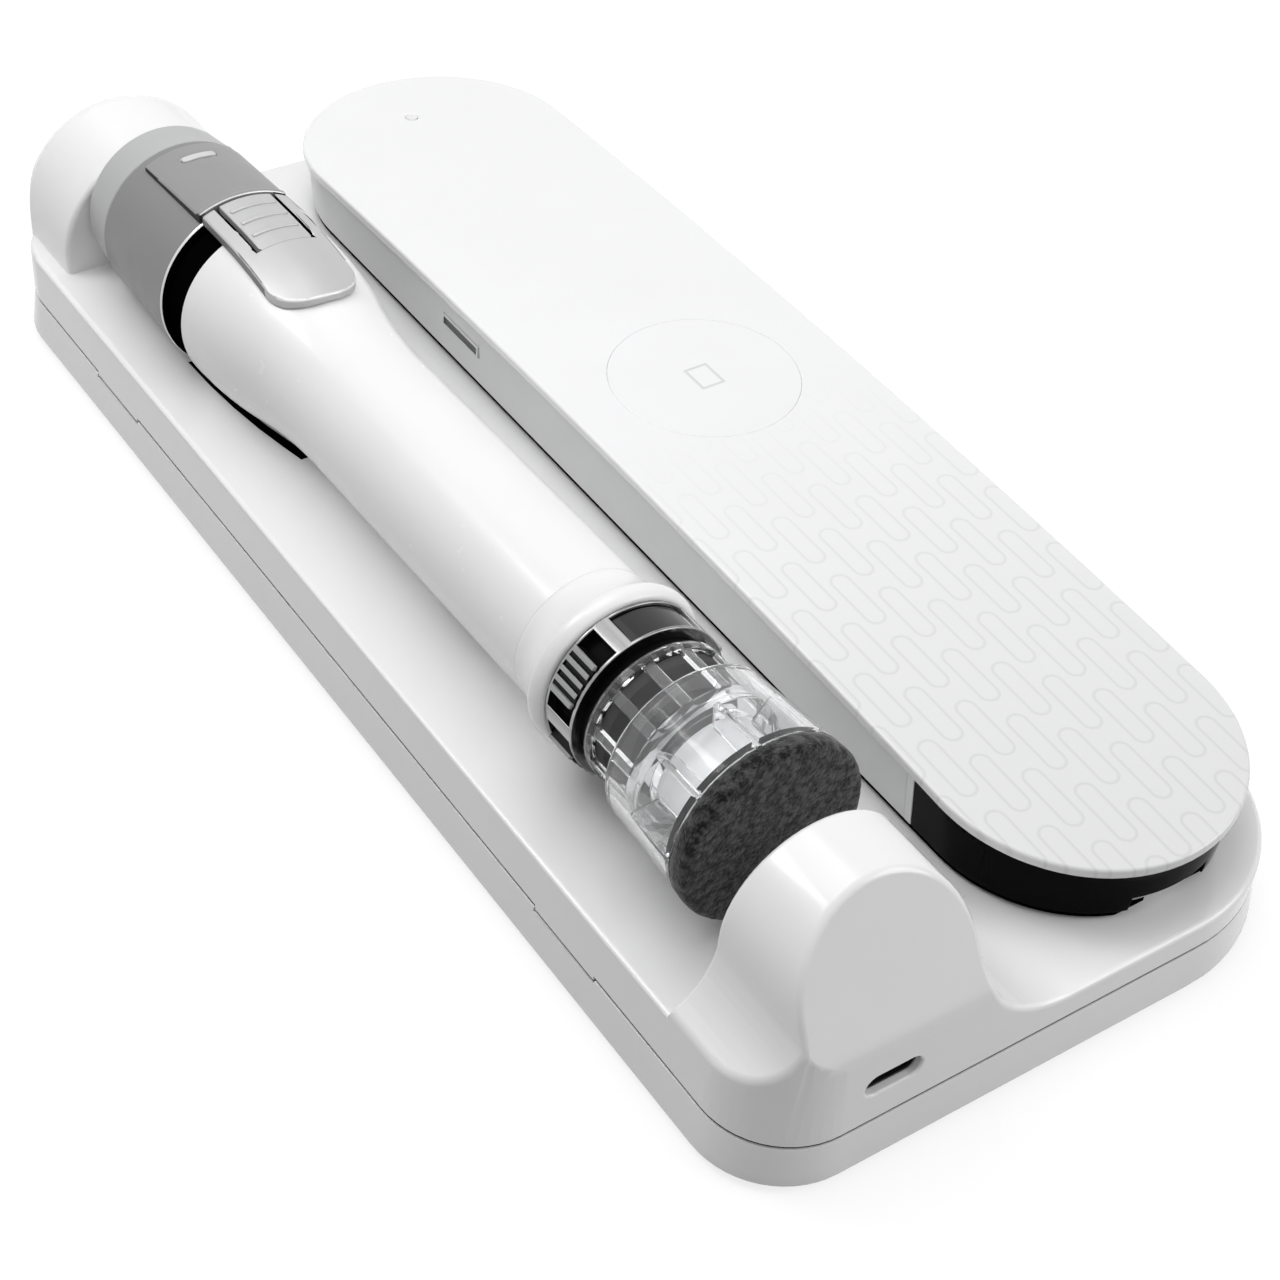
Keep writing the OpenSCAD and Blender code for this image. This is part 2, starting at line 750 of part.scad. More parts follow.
// Plan outline of the panel and tongue, seen from above.
module lift_outline(u0, u1, w, corner) {
    translate([0, 0, 0]) rotate([-90, 0, 0]) linear_extrude(barrel_r1 + 10) mirror([0, 1]) {
        translate([-w / 2, u0]) square([w, u1 - u0 - corner]);
        translate([-w / 2 + corner, u0]) square([w - 2 * corner, u1 - u0]);
        for (s = [-1, 1]) translate([s * (w / 2 - corner), u1 - corner]) circle(corner);
    }
}

module collar_panel() {
    color("gray") difference() {
        intersection() {
            dock() rotate_extrude() polygon([
                [collar_r1 - 0.8, u_panel], [collar_r1 + 0.7, u_panel], [top_r - 0.2, u_panel_end - 1.4],
                [top_r + 0.2, u_panel_end - 0.9], [top_r + 0.2, u_panel_end], [collar_r1 - 0.8, u_panel_end]
            ]);
            turned() lift_outline(u_panel - 1, u_tongue + 1, tongue_w + 0.4, 0.4);
        }
        dock() rotate_extrude() polygon([
            [0, u_collar], [collar_r1, u_collar], [collar_r2, u_gap - 0.6], [collar_r2, u_gap], [0, u_gap]
        ]);
        status_shape(0.05);
    }
}

module status_shape(grow) {
    turned() rotate([-90, 0, 0]) linear_extrude(30) mirror([0, 1]) translate([0, u_panel + 3.8]) {
        square([4, 1.3 + 2 * grow], center = true);
        for (s = [-1, 1]) translate([s * 2, 0]) circle(0.65 + grow);
    }
}

module status_light() {
    color("white") intersection() {
        status_shape(0);
        dock() rotate_extrude() translate([collar_r1 + 0.2, u_panel]) square([0.85, 8]);
    }
}

module end_ring() {
    color("lightgray") difference() {
        dock() rotate_extrude() polygon([
            [0, 0], [end_ring_r - 0.5, 0], [end_ring_r, 0.5], [collar_r1 - 0.1, u_collar],
            [collar_r1 - 1.6, u_collar], [collar_r1 - 1.6, 2], [0, 2]
        ]);
        dock() for (s = [-1, 1])
            translate([s * post_pin_dx, post_pin_z - marker_z, -1]) cylinder(r = 1.6, h = 1.6);
    }
}

module end_contacts() {
    color("gold") dock() for (s = [-1, 1])
        translate([s * post_pin_dx, post_pin_z - marker_z, 0.1]) cylinder(r = 1.6, h = 0.5);
}

module tongue_skin(low, high) {
    dock() rotate_extrude() difference() {
        barrel_outline(high, u_tongue, u_gap + tongue_l + 1);
        barrel_outline(low, u_tongue - 1, u_gap + tongue_l + 2);
    }
}

module tongue() {
    color("silver") difference() {
        intersection() {
            tongue_skin(skin, skin + tongue_t);
            turned() lift_outline(u_tongue, u_gap + tongue_l, tongue_w, tongue_round);
        }
        turned() block(-tab_w / 2 - tab_gap, tab_w / 2 + tab_gap, 5, 40, u_tab - tab_gap, u_hinge + move_gap);
        dock() rotate_extrude() translate([0, u_collar]) square([collar_r2 + 0.05, collar_l + 0.05]);
    }
}

module release_tab() {
    color("silver") {
        intersection() {
            tongue_skin(skin + 0.2, skin + tongue_t);
            turned() lift_outline(u_tab, u_hinge, tab_w, 0.3);
        }
        intersection() {
            turned() for (i = [0 : ridge_n - 1])
                translate([0, 0, u_tab + ridge_in + i * ridge_pitch])
                    block(-tab_w / 2 + 0.5, tab_w / 2 - 0.5, 5, 40, 0, 0.7);
            tongue_skin(skin + tongue_t - 0.2, skin + tongue_t + 0.25);
        }
    }
}

module marker_battery() {
    r = (collar_r1 - 1.6) / 2 - 0.5;
    color("steelblue") dock() translate([0, -(collar_r1 - 1.6) + r + 0.3, u_gap - collar_l + 1])
        cylinder(r = r, h = collar_l - 1);
}

module marker_board() {
    color("darkgreen") dock() block(-8, 8, 0.2, 1.4, u_gap - collar_l, u_gap);
}

module tip_switch() {
    color("black") dock() translate([0, 0, u_switch]) {
        cylinder(r = 3, h = switch_l - 1);
        cylinder(r = 1.4, h = switch_l);
    }
}

module ink_barrel() {
    color("ivory") dock() rotate_extrude() polygon([
        [0, u_pen], [pen_r - 0.8, u_pen], [pen_r, u_pen + 0.8], [pen_r, u_ring + 2],
        [neck_r, u_ring + 4], [0, u_ring + 4]
    ]);
}

module ink_neck() {
    color("black") dock() rotate_extrude() polygon([
        [0, u_ring + 4], [neck_r, u_ring + 4], [neck_r, u_guard + 3], [3, u_guard + 6.5], [0, u_guard + 6.5]
    ]);
}

module ink_nib() {
    color("black") dock() rotate_extrude() polygon([
        [0, u_guard + 6.5], [2.4, u_guard + 6.5], [2.4, u_guard + 9.5], [1.2, u_guard + 11.5],
        [0, u_guard + 11.5]
    ]);
}

module clear_cap() {
    color("lightcyan") dock() {
        rotate_extrude() polygon([
            [cap_r1 - cap_wall, u_cap], [cap_r1, u_cap], [cap_r2, u_felt], [0, u_felt],
            [0, u_felt - cap_end_t], [cap_r2 - cap_wall, u_felt - cap_end_t]
        ]);
        intersection() {
            rotate_extrude() polygon([
                [0, u_cap], [cap_r1 - cap_wall / 2, u_cap], [cap_r2 - cap_wall / 2, u_felt], [0, u_felt]
            ]);
            for (i = [0 : fin_n - 1]) rotate([0, 0, i * 360 / fin_n + cup_turn])
                block(cup_r + 0.1, cap_r2, -fin_t / 2, fin_t / 2,
                    u_guard + guard_l + move_gap, u_felt - cap_end_t / 2);
        }
    }
}

module cap_cup() {
    u0 = u_guard + cup_start;
    u1 = u_felt - cap_end_t;
    color("gainsboro") dock() rotate([0, 0, cup_turn]) difference() {
        translate([0, 0, u0]) cylinder(r = cup_r, h = u1 - u0, $fn = fin_n);
        translate([0, 0, u0 - 1]) cylinder(r = cup_r - cup_wall, h = u1 - cup_end - u0 + 1);
    }
}

module felt_pad() {
    color("dimgray") dock() rotate_extrude() polygon([
        [0, u_felt], [cap_r2, u_felt], [cap_r2 + 0.1, u_felt + 0.5], [cap_r2 + 0.1, u_felt + felt_t - 0.5],
        [cap_r2 - 0.4, u_felt + felt_t], [0, u_felt + felt_t]
    ]);
}

// Receiver outline: a bar with round ends.
module pill(r, l) {
    square([2 * r, l - 2 * r], center = true);
    for (s = [-1, 1]) translate([0, s * (l / 2 - r)]) circle(r);
}

module at_receiver() {
    translate([rx_x, rx_y, 0]) children();
}

module pill_slab(r, z0, z1) {
    at_receiver() translate([0, 0, z0]) linear_extrude(z1 - z0) pill(r, straight_l + 2 * r);
}

// Receiver side with drawn-in walls: two half turns and a straight between them.
module pill_drawn(r0, r1, z0, z1) {
    at_receiver() {
        for (s = [0, 180]) rotate([0, 0, s]) translate([0, straight_l / 2, 0]) rotate_extrude(angle = 180)
            polygon([[0, z0], [r0, z0], [r1, z1], [0, z1]]);
        rotate([90, 0, 0]) linear_extrude(straight_l, center = true)
            polygon([[-r0, z0], [r0, z0], [r1, z1], [-r1, z1]]);
    }
}

// Height of the lid's arched surface at a distance from the receiver's middle.
function arch_z(y) = rx_mid_z - arch_R + sqrt(arch_R * arch_R - y * y);

// Everything under the lid's arched surface, lowered by a distance.
module under_arch(drop) {
    reach = rx_l / 2 + 2;
    translate([rx_x - 2 * rx_r, rx_y, 0]) rotate([90, 0, 90]) linear_extrude(4 * rx_r)
        polygon(concat(
            [for (i = [-arch_steps : arch_steps])
                [i * reach / arch_steps, arch_z(i * reach / arch_steps) - drop]],
            [[reach, 0], [-reach, 0]]
        ));
}

module receiver_lid() {
    color("white") difference() {
        intersection() {
            pill_slab(rx_r, rx_z, rx_mid_z + 1);
            under_arch(0);
        }
        under_arch(lid_t);
        translate([rx_x, rx_y + button_y, 0]) cylinder(r = button_r + move_gap, h = 60);
        light_place() cylinder(r = 0.9, h = 60);
    }
}

module light_place() {
    translate([rx_x, rx_y + rx_l / 2 - 12.6, 0]) children();
}

module lid_light() {
    color("white") intersection() {
        light_place() cylinder(r = 0.9, h = 60);
        difference() {
            under_arch(0.05);
            under_arch(lid_t);
        }
    }
}

module side_wall(y0, y1) {
    difference() {
        intersection() {
            pill_drawn(band_r1, band_r2, rx_z, band_top);
            under_arch(lid_t);
            block(rx_x - 2 * rx_r, rx_x + 2 * rx_r, y0, y1, 0, 60);
        }
        pill_slab(cavity_r, 0, 60);
    }
}

module side_band() {
    color("lightgray") difference() {
        side_wall(window_y + strip_w, cradle_l);
        block(rx_x - 2 * rx_r, rx_x, key_cy - key_l / 2 - move_gap, key_cy + key_l / 2 + move_gap,
            key_z - key_h / 2 - move_gap, key_z + key_h / 2 + move_gap);
    }
}

module divider_strip() {
    color("silver") side_wall(window_y, window_y + strip_w);
}

module end_window() {
    color("black") difference() {
        side_wall(-cradle_l, window_y);
        block(rx_x - 6, rx_x + 6, -cradle_l, rx_y - straight_l / 2 - cavity_r + 1, 0, rx_z + 2.4);
    }
}

module tray_boss_places() {
    for (x = [-9, 9], y = [board_front_y + 24, board_back_y - 8]) translate([rx_x + x, y, 0]) children();
}

module receiver_tray() {
    color("gainsboro") difference() {
        union() {
            pill_slab(cavity_r, rx_z, tray_top);
            tray_boss_places() translate([0, 0, tray_top - e]) cylinder(r = 3, h = board_z - tray_top + e);
        }
        tray_boss_places() cylinder(r = screw_r, h = 60);
        tray_boss_places() cylinder(r = screw_head_r + 0.1, h = rx_z + 1);
        pad_places() cylinder(r = 4.1, h = rx_z + 0.5);
        for (s = [-1, 1]) translate([rx_x + s * bed_pin_dx, bed_pin_y, 0]) cylinder(r = 2, h = rx_z + 0.6);
    }
}

module pad_places() {
    for (x = [-11, 11], y = [-rx_l / 2 + 20, rx_l / 2 - 32]) translate([rx_x + x, rx_y + y, 0]) children();
}

module receiver_pads() {
    color("dimgray") pad_places() translate([0, 0, rx_z - pad_h]) cylinder(r = 4, h = pad_h + 0.5);
}

module receiver_screws() {
    color("silver") tray_boss_places() {
        translate([0, 0, rx_z + 0.1]) cylinder(r = screw_head_r, h = 0.9);
        translate([0, 0, rx_z + 1 - e]) cylinder(r = screw_r - 0.05, h = board_z - rx_z - 1.2);
    }
}

module receiver_board() {
    r = cavity_r - 0.6;
    color("darkgreen") translate([rx_x, 0, board_z]) linear_extrude(board_t) {
        translate([0, board_front_y + r]) circle(r);
        translate([-r, board_front_y + r]) square([2 * r, board_back_y - board_front_y - r]);
    }
}

module receiver_battery() {
    color("steelblue") block(rx_x - cell_w / 2, rx_x + cell_w / 2, board_back_y + 2, board_back_y + 2 + cell_l,
        tray_top, tray_top + cell_t);
}

module receiver_magnets() {
    color("silver") for (y = [board_front_y + 26.3, board_back_y - 16.3])
        translate([rx_x, y, tray_top + magnet_t / 2]) cube([magnet_w, magnet_l, magnet_t], center = true);
}

module receiver_contacts() {
    color("gold") for (s = [-1, 1])
        translate([rx_x + s * bed_pin_dx, bed_pin_y, rx_z + 0.1]) cylinder(r = 2, h = 0.5);
}

module optical_sensors() {
    color("purple") for (s = [-1, 1])
        block(rx_x + s * 5 - 2, rx_x + s * 5 + 2, board_front_y + 1, board_front_y + 4,
            board_top, board_top + 1.6);
}

module microphones() {
    color("silver") for (s = [-1, 1])
        translate([rx_x + s * 9, board_front_y + 7, board_top]) cylinder(r = 2.2, h = 1.5);
}

module page_button() {
    stem_z = board_top + 0.8 + button_travel + move_gap;
    color("white") translate([0, 0, 0]) {
        intersection() {
            translate([rx_x, rx_y + button_y, 0]) cylinder(r = button_r, h = 60);
            difference() {
                under_arch(0);
                under_arch(lid_t + move_gap + 0.05);
            }
        }
        intersection() {
            translate([rx_x, rx_y + button_y, 0]) cylinder(r = button_r + 1.5, h = 60);
            difference() {
                under_arch(lid_t + move_gap);
                under_arch(lid_t + move_gap + 0.8);
            }
        }
        translate([rx_x, rx_y + button_y, stem_z])
            cylinder(r = 2, h = rx_mid_z - lid_t - move_gap - 0.4 - stem_z);
    }
}

module button_switch() {
    color("black") translate([rx_x, rx_y + button_y, board_top]) {
        cylinder(r = 3, h = 0.5);
        cylinder(r = 1.7, h = 0.8);
    }
}

module side_key() {
    x0 = band_x - 0.25;
    x1 = rx_x - cavity_r + move_gap;
    color("darkgray") {
        block(x0, x1 + 0.1, key_cy - key_l / 2, key_cy + key_l / 2, key_z - key_h / 2, key_z + key_h / 2);
        block(x1, x1 + 0.8, key_cy - key_l / 2 - 0.8, key_cy + key_l / 2 + 0.8,
            key_z - key_h / 2, key_z + key_h / 2);
    }
}

module key_switch() {
    x = rx_x - cavity_r + move_gap + 0.8 + 0.4 + move_gap;
    color("black") block(x, x + 2.4, key_cy - 2.5, key_cy + 2.5, board_top, key_z + key_h / 2);
}

cradle_top_shell();
cradle_bottom_shell();
cradle_feet();
cradle_screws();
cradle_board();
inlet_board();
inlet_socket();
inlet_tongue();
bed_contact_block();
bed_pins();
post_contact_block();
post_pins();
marker_saddle();
marker_barrel();
front_ring();
chrome_collar();
sensor_cage();
emitters();
nose_guard();
gap_ring();
rear_collar();
collar_panel();
status_light();
end_ring();
end_contacts();
tongue();
release_tab();
marker_battery();
marker_board();
tip_switch();
ink_barrel();
ink_neck();
ink_nib();
clear_cap();
cap_cup();
felt_pad();
receiver_lid();
side_band();
divider_strip();
end_window();
receiver_tray();
receiver_pads();
receiver_screws();
receiver_board();
receiver_battery();
receiver_magnets();
receiver_contacts();
optical_sensors();
microphones();
page_button();
button_switch();
side_key();
key_switch();
lid_light();
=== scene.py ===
"""Looks and studio for a charging cradle with a whiteboard marker and its receiver bar."""

import logging
import math
from contextlib import contextmanager
from dataclasses import dataclass, field
from enum import Enum
from typing import Callable, ClassVar, Iterator, Sequence

import bmesh
import bpy
from mathutils import Euler, Matrix, Vector


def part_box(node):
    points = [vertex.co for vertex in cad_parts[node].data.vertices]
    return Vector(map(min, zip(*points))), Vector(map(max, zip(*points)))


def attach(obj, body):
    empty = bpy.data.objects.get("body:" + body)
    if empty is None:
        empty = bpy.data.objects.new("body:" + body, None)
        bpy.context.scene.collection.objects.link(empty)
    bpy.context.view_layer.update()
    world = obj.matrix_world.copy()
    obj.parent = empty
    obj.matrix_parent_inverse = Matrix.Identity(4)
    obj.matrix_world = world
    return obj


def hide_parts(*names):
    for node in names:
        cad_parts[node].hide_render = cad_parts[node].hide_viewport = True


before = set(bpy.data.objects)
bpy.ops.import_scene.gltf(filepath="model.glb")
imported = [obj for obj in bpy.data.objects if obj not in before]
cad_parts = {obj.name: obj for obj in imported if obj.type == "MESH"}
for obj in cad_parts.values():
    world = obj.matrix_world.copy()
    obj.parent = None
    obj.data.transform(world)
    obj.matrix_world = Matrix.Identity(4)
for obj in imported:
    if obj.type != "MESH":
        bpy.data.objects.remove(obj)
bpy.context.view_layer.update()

LOG = logging.getLogger("scene")
MM = 0.001
WELD = 2e-6  # Metres below which points merge.
NEAR = 0.05  # Millimetres within which two places count as one.
FLAT = 0.2  # Degrees of turn below which two faces count as one.
FACING = 0.9  # Share of a normal along an axis from which a face looks that way.
CREASE = 38  # Degrees of turn from which an edge stays sharp.
Piece = bpy.types.Object
Edge = bmesh.types.BMEdge
Socket = bpy.types.NodeSocket
Triple = tuple[float, float, float]
Colour = Triple
Span = tuple[float, float]
Waves = tuple[float, float]  # Waves to the metre, and octaves.
PlaceTest = Callable[[Vector], bool]
FaceTest = Callable[[Vector, Vector], bool]


class Body(Enum):
    """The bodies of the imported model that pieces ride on."""

    CRADLE = "cradle"
    MARKER = "marker"
    TAB = "release_tab"
    CAP = "cap"
    RECEIVER = "receiver"
    BUTTON = "page_button"
    KEY = "side_key"


class Pick(Enum):
    """What edit mode selects."""

    POINT = "VERT"
    EDGE = "EDGE"
    FACE = "FACE"


def alone(piece: Piece) -> None:
    """Makes one object the only selected and the active one.

    Args:
        piece: The object to work on.
    """
    bpy.ops.object.select_all(action="DESELECT")
    piece.select_set(True)
    bpy.context.view_layer.objects.active = piece


def pick_all() -> None:
    """Selects the whole mesh in edit mode."""
    bpy.ops.mesh.select_all(action="SELECT")


def push(step: Sequence[float]) -> None:
    """Extrudes what is selected by a step in metres."""
    bpy.ops.mesh.extrude_region_move(TRANSFORM_OT_translate={"value": step})


def face_outward() -> None:
    """Turns all normals of the mesh in edit mode outward."""
    pick_all()
    bpy.ops.mesh.normals_make_consistent()


@contextmanager
def shaping(piece: Piece, pick: Pick = Pick.EDGE) -> Iterator[None]:
    """Opens edit mode on a piece, and closes it again.

    Args:
        piece: The object to shape.
        pick: What the select mode is set to.
    """
    alone(piece)
    bpy.ops.object.mode_set(mode="EDIT")
    bpy.ops.mesh.select_mode(type=pick.value)
    yield
    bpy.ops.object.mode_set(mode="OBJECT")


def choose(piece: Piece, kind: Pick, test: Callable[..., bool]) -> int:
    """Selects only the points, edges or faces of a piece in edit mode that pass a test.

    Args:
        piece: The object in edit mode.
        kind: What is selected.
        test: Says yes or no to a point, edge or face.

    Returns:
        How many pass.
    """
    bpy.ops.mesh.select_mode(type=kind.value)
    bpy.ops.mesh.select_all(action="DESELECT")
    mesh = bmesh.from_edit_mesh(piece.data)
    mesh.normal_update()
    every = getattr(mesh, kind.value.lower() + "s")
    chosen = [element for element in every if test(element)]
    for element in chosen:
        element.select_set(True)
    if kind is Pick.POINT:
        mesh.select_flush(True)
    bmesh.update_edit_mesh(piece.data)
    return len(chosen)


def choose_places(piece: Piece, test: PlaceTest) -> None:
    """Selects only the edges of a piece whose ends pass a test by place, in millimetres."""
    choose(piece, Pick.POINT, lambda point: test(point.co / MM))
    bpy.ops.mesh.select_mode(type=Pick.EDGE.value)


def middle(edge: Edge) -> Vector:
    """The middle of an edge in millimetres."""
    return (edge.verts[0].co + edge.verts[1].co) / 2 / MM


def convex(edge: Edge, degrees: float = 32) -> bool:
    """Whether an edge stands out and turns by more than an angle."""
    return edge.is_convex and edge.calc_face_angle(0) > math.radians(degrees)


@dataclass(frozen=True)
class Rounding:
    """One kind of edge of a piece, and how wide it is rounded, in millimetres."""

    width: float
    test: Callable[[Edge], bool] = convex
    steps: int = 3
    slide: bool = True


def faired(piece: Piece) -> None:
    """Gives a piece smooth shading that keeps flats flat.

    Args:
        piece: The finished mesh object.
    """
    alone(piece)
    bpy.ops.object.shade_smooth_by_angle(angle=math.radians(CREASE))
    bpy.ops.object.modifier_add(type="WEIGHTED_NORMAL")
    weighting = piece.modifiers[-1]
    weighting.keep_sharp = True
    bpy.ops.object.modifier_apply(modifier=weighting.name)


def softened(node: str, name: str, *rounds: Rounding, keep: PlaceTest | None = None,
             shift: tuple[PlaceTest, Vector] | None = None,
             weld: tuple[PlaceTest, float] | None = None,
             cuts: tuple[PlaceTest, Sequence[float]] | None = None) -> Piece:
    """Copies a solid of the frame and rounds its edges as a mould would.

    Args:
        node: The solid's name in the frame.
        name: The new piece's name.
        rounds: The edges to round, in order.
        keep: Which points stay, by place in millimetres; all if left out.
        shift: Which points move, and how far in millimetres.
        weld: Which points merge, and below what distance in millimetres.
        cuts: Which points get level edge loops, and at what heights in millimetres.

    Returns:
        The new piece, at the origin.
    """
    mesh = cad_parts[node].data.copy()
    mesh.materials.clear()
    piece = bpy.data.objects.new(name, mesh)
    bpy.context.scene.collection.objects.link(piece)
    alone(piece)
    bpy.ops.mesh.customdata_custom_splitnormals_clear()
    with shaping(piece):
        pick_all()
        bpy.ops.mesh.remove_doubles(threshold=WELD)
        if keep:
            choose_places(piece, lambda at: not keep(at))
            bpy.ops.mesh.delete(type="VERT")
        if shift:
            choose_places(piece, shift[0])
            bpy.ops.transform.translate(value=shift[1] * MM)
        pick_all()
        bpy.ops.mesh.dissolve_limited(angle_limit=math.radians(FLAT))
        if weld:
            choose_places(piece, weld[0])
            bpy.ops.mesh.remove_doubles(threshold=weld[1] * MM)
        for rule in rounds:
            if choose(piece, Pick.EDGE, rule.test):
                bpy.ops.mesh.bevel(offset=rule.width * MM, segments=rule.steps, loop_slide=rule.slide)
        pick_all()
        bpy.ops.mesh.dissolve_degenerate(threshold=WELD)
        for height in cuts[1] if cuts else ():
            choose_places(piece, cuts[0])
            bpy.ops.mesh.bisect(plane_co=(0, 0, height * MM), plane_no=(0, 0, 1))
    faired(piece)
    return piece


def drawn(name: str, points: Sequence[Span]) -> Piece:
    """Draws an open outline in the X-Z plane by extruding a vertex.

    Args:
        name: The new piece's name.
        points: Radius and height of each point, in millimetres.

    Returns:
        A mesh object that is a line of edges.
    """
    bpy.ops.mesh.primitive_plane_add(size=MM)
    piece = bpy.context.object
    piece.name = name
    with shaping(piece, Pick.POINT):
        pick_all()
        bpy.ops.mesh.merge(type="CENTER")
        bpy.ops.transform.translate(value=Vector((points[0][0], 0, points[0][1])) * MM)
        for (r0, z0), (r1, z1) in zip(points, points[1:]):
            push(Vector((r1 - r0, 0, z1 - z0)) * MM)
    return piece


def block(name: str, size: Sequence[float], centre: Sequence[float]) -> Piece:
    """Adds a block.

    Args:
        name: The new piece's name.
        size: Its sides, in millimetres.
        centre: Its middle, in millimetres.

    Returns:
        The new piece, with its size and place applied.
    """
    bpy.ops.mesh.primitive_cube_add(size=1, location=Vector(centre) * MM, scale=Vector(size) * MM)
    piece = bpy.context.object
    piece.name = name
    bpy.ops.object.transform_apply()
    return piece


def set_down(piece: Piece, place: Matrix) -> None:
    """Moves a piece to its place and applies that to its mesh.

    Args:
        piece: The object, modelled at the origin.
        place: Where it goes.
    """
    alone(piece)
    piece.matrix_world = place @ piece.matrix_world
    bpy.ops.object.transform_apply()


class Tree:
    """A tree of shader nodes, with short ways to add to it."""

    def __init__(self, tree: bpy.types.NodeTree) -> None:
        """Takes the tree to add to."""
        self.tree = tree

    def put(self, term: object, slot: Socket) -> None:
        """Feeds an input.

        Args:
            term: A socket, a plain value, or a colour of three levels.
            slot: The input.
        """
        if isinstance(term, Socket):
            self.tree.links.new(term, slot)
        else:
            slot.default_value = (*term, 1) if slot.type == "RGBA" else term

    def add(self, kind: str, terms: dict[int | str, object] | None = None,
            **settings: object) -> bpy.types.Node:
        """Adds a node.

        Args:
            kind: Its type, less the common first part.
            terms: What feeds its inputs, by their number or name.
            settings: Its properties.

        Returns:
            The new node.
        """
        node = self.tree.nodes.new("ShaderNode" + kind)
        for key, value in settings.items():
            setattr(node, key, value)
        for key, term in (terms or {}).items():
            self.put(term, node.inputs[key])
        return node

    def math(self, kind: str, *terms: object) -> Socket:
        """Adds one step of arithmetic on sockets or numbers."""
        return self.add("Math", dict(enumerate(terms)), operation=kind).outputs[0]

    def gap(self, value: Socket, target: float) -> Socket:
        """How far a value is from a number."""
        return self.math("ABSOLUTE", self.math("SUBTRACT", value, target))


class Shade(Tree):
    """A material's node tree, with what the finishes share."""

    def __init__(self, name: str) -> None:
        """Starts a material with a principled shader and Object coordinates.

        Args:
            name: The material's name.
        """
        self.material = bpy.data.materials.new(name)
        self.material.use_nodes = True
        super().__init__(self.material.node_tree)
        self.tree.nodes.clear()
        self.body = self.add("BsdfPrincipled")
        self.add("OutputMaterial", {"Surface": self.body.outputs[0]})
        self.place = self.add("TexCoord").outputs["Object"]

    def fix(self, **terms: object) -> None:
        """Feeds the shader's inputs, with underscores for blanks in their names."""
        for key, term in terms.items():
            self.put(term, self.body.inputs[key.replace("_", " ")])

    def stretched(self, scale: Sequence[float], turn: Sequence[float] = (0, 0, 0)) -> Socket:
        """Object coordinates, scaled on each axis and turned by degrees."""
        angles = [math.radians(a) for a in turn]
        return self.add("Mapping", {"Vector": self.place, "Scale": scale, "Rotation": angles}).outputs[0]

    def millimetres(self) -> tuple[Socket, Socket]:
        """Object coordinates across and along, in millimetres."""
        split = self.add("SeparateXYZ", {0: self.stretched((1 / MM, 1 / MM, 1 / MM))})
        return split.outputs[0], split.outputs[1]

    def noise(self, waves: Waves, where: Socket | None = None) -> Socket:
        """A noise field from 0 to 1, by its waves and its coordinates."""
        terms = {"Vector": where or self.place, "Scale": waves[0], "Detail": waves[1]}
        return self.add("TexNoise", terms).outputs["Fac"]

    def ramp(self, value: Socket, span: Span, out: Span = (0, 1), smooth: bool = False) -> Socket:
        """Maps a value from one span to another, with eased ends if smooth."""
        terms = dict(zip(("Value", "From Min", "From Max", "To Min", "To Max"), (value, *span, *out)))
        return self.add("MapRange", terms,
                        interpolation_type="SMOOTHSTEP" if smooth else "LINEAR").outputs[0]

    def mixed(self, share: Socket, first: object, second: object) -> Socket:
        """Mixes two colours or colour sockets by the share of the second."""
        return self.add("Mix", {0: share, 6: first, 7: second}, data_type="RGBA").outputs[2]

    def relief(self, height: Socket, strength: float, depth: float) -> None:
        """Bumps the surface by a height field, whose 1 stands for a depth in millimetres."""
        bump = self.add("Bump", {"Height": height, "Strength": strength, "Distance": depth * MM})
        self.fix(Normal=bump.outputs[0])


def grey(level: float, blue: float = 0) -> Colour:
    """A neutral colour, a little bluer if asked."""
    return (level - blue, level, level + blue)


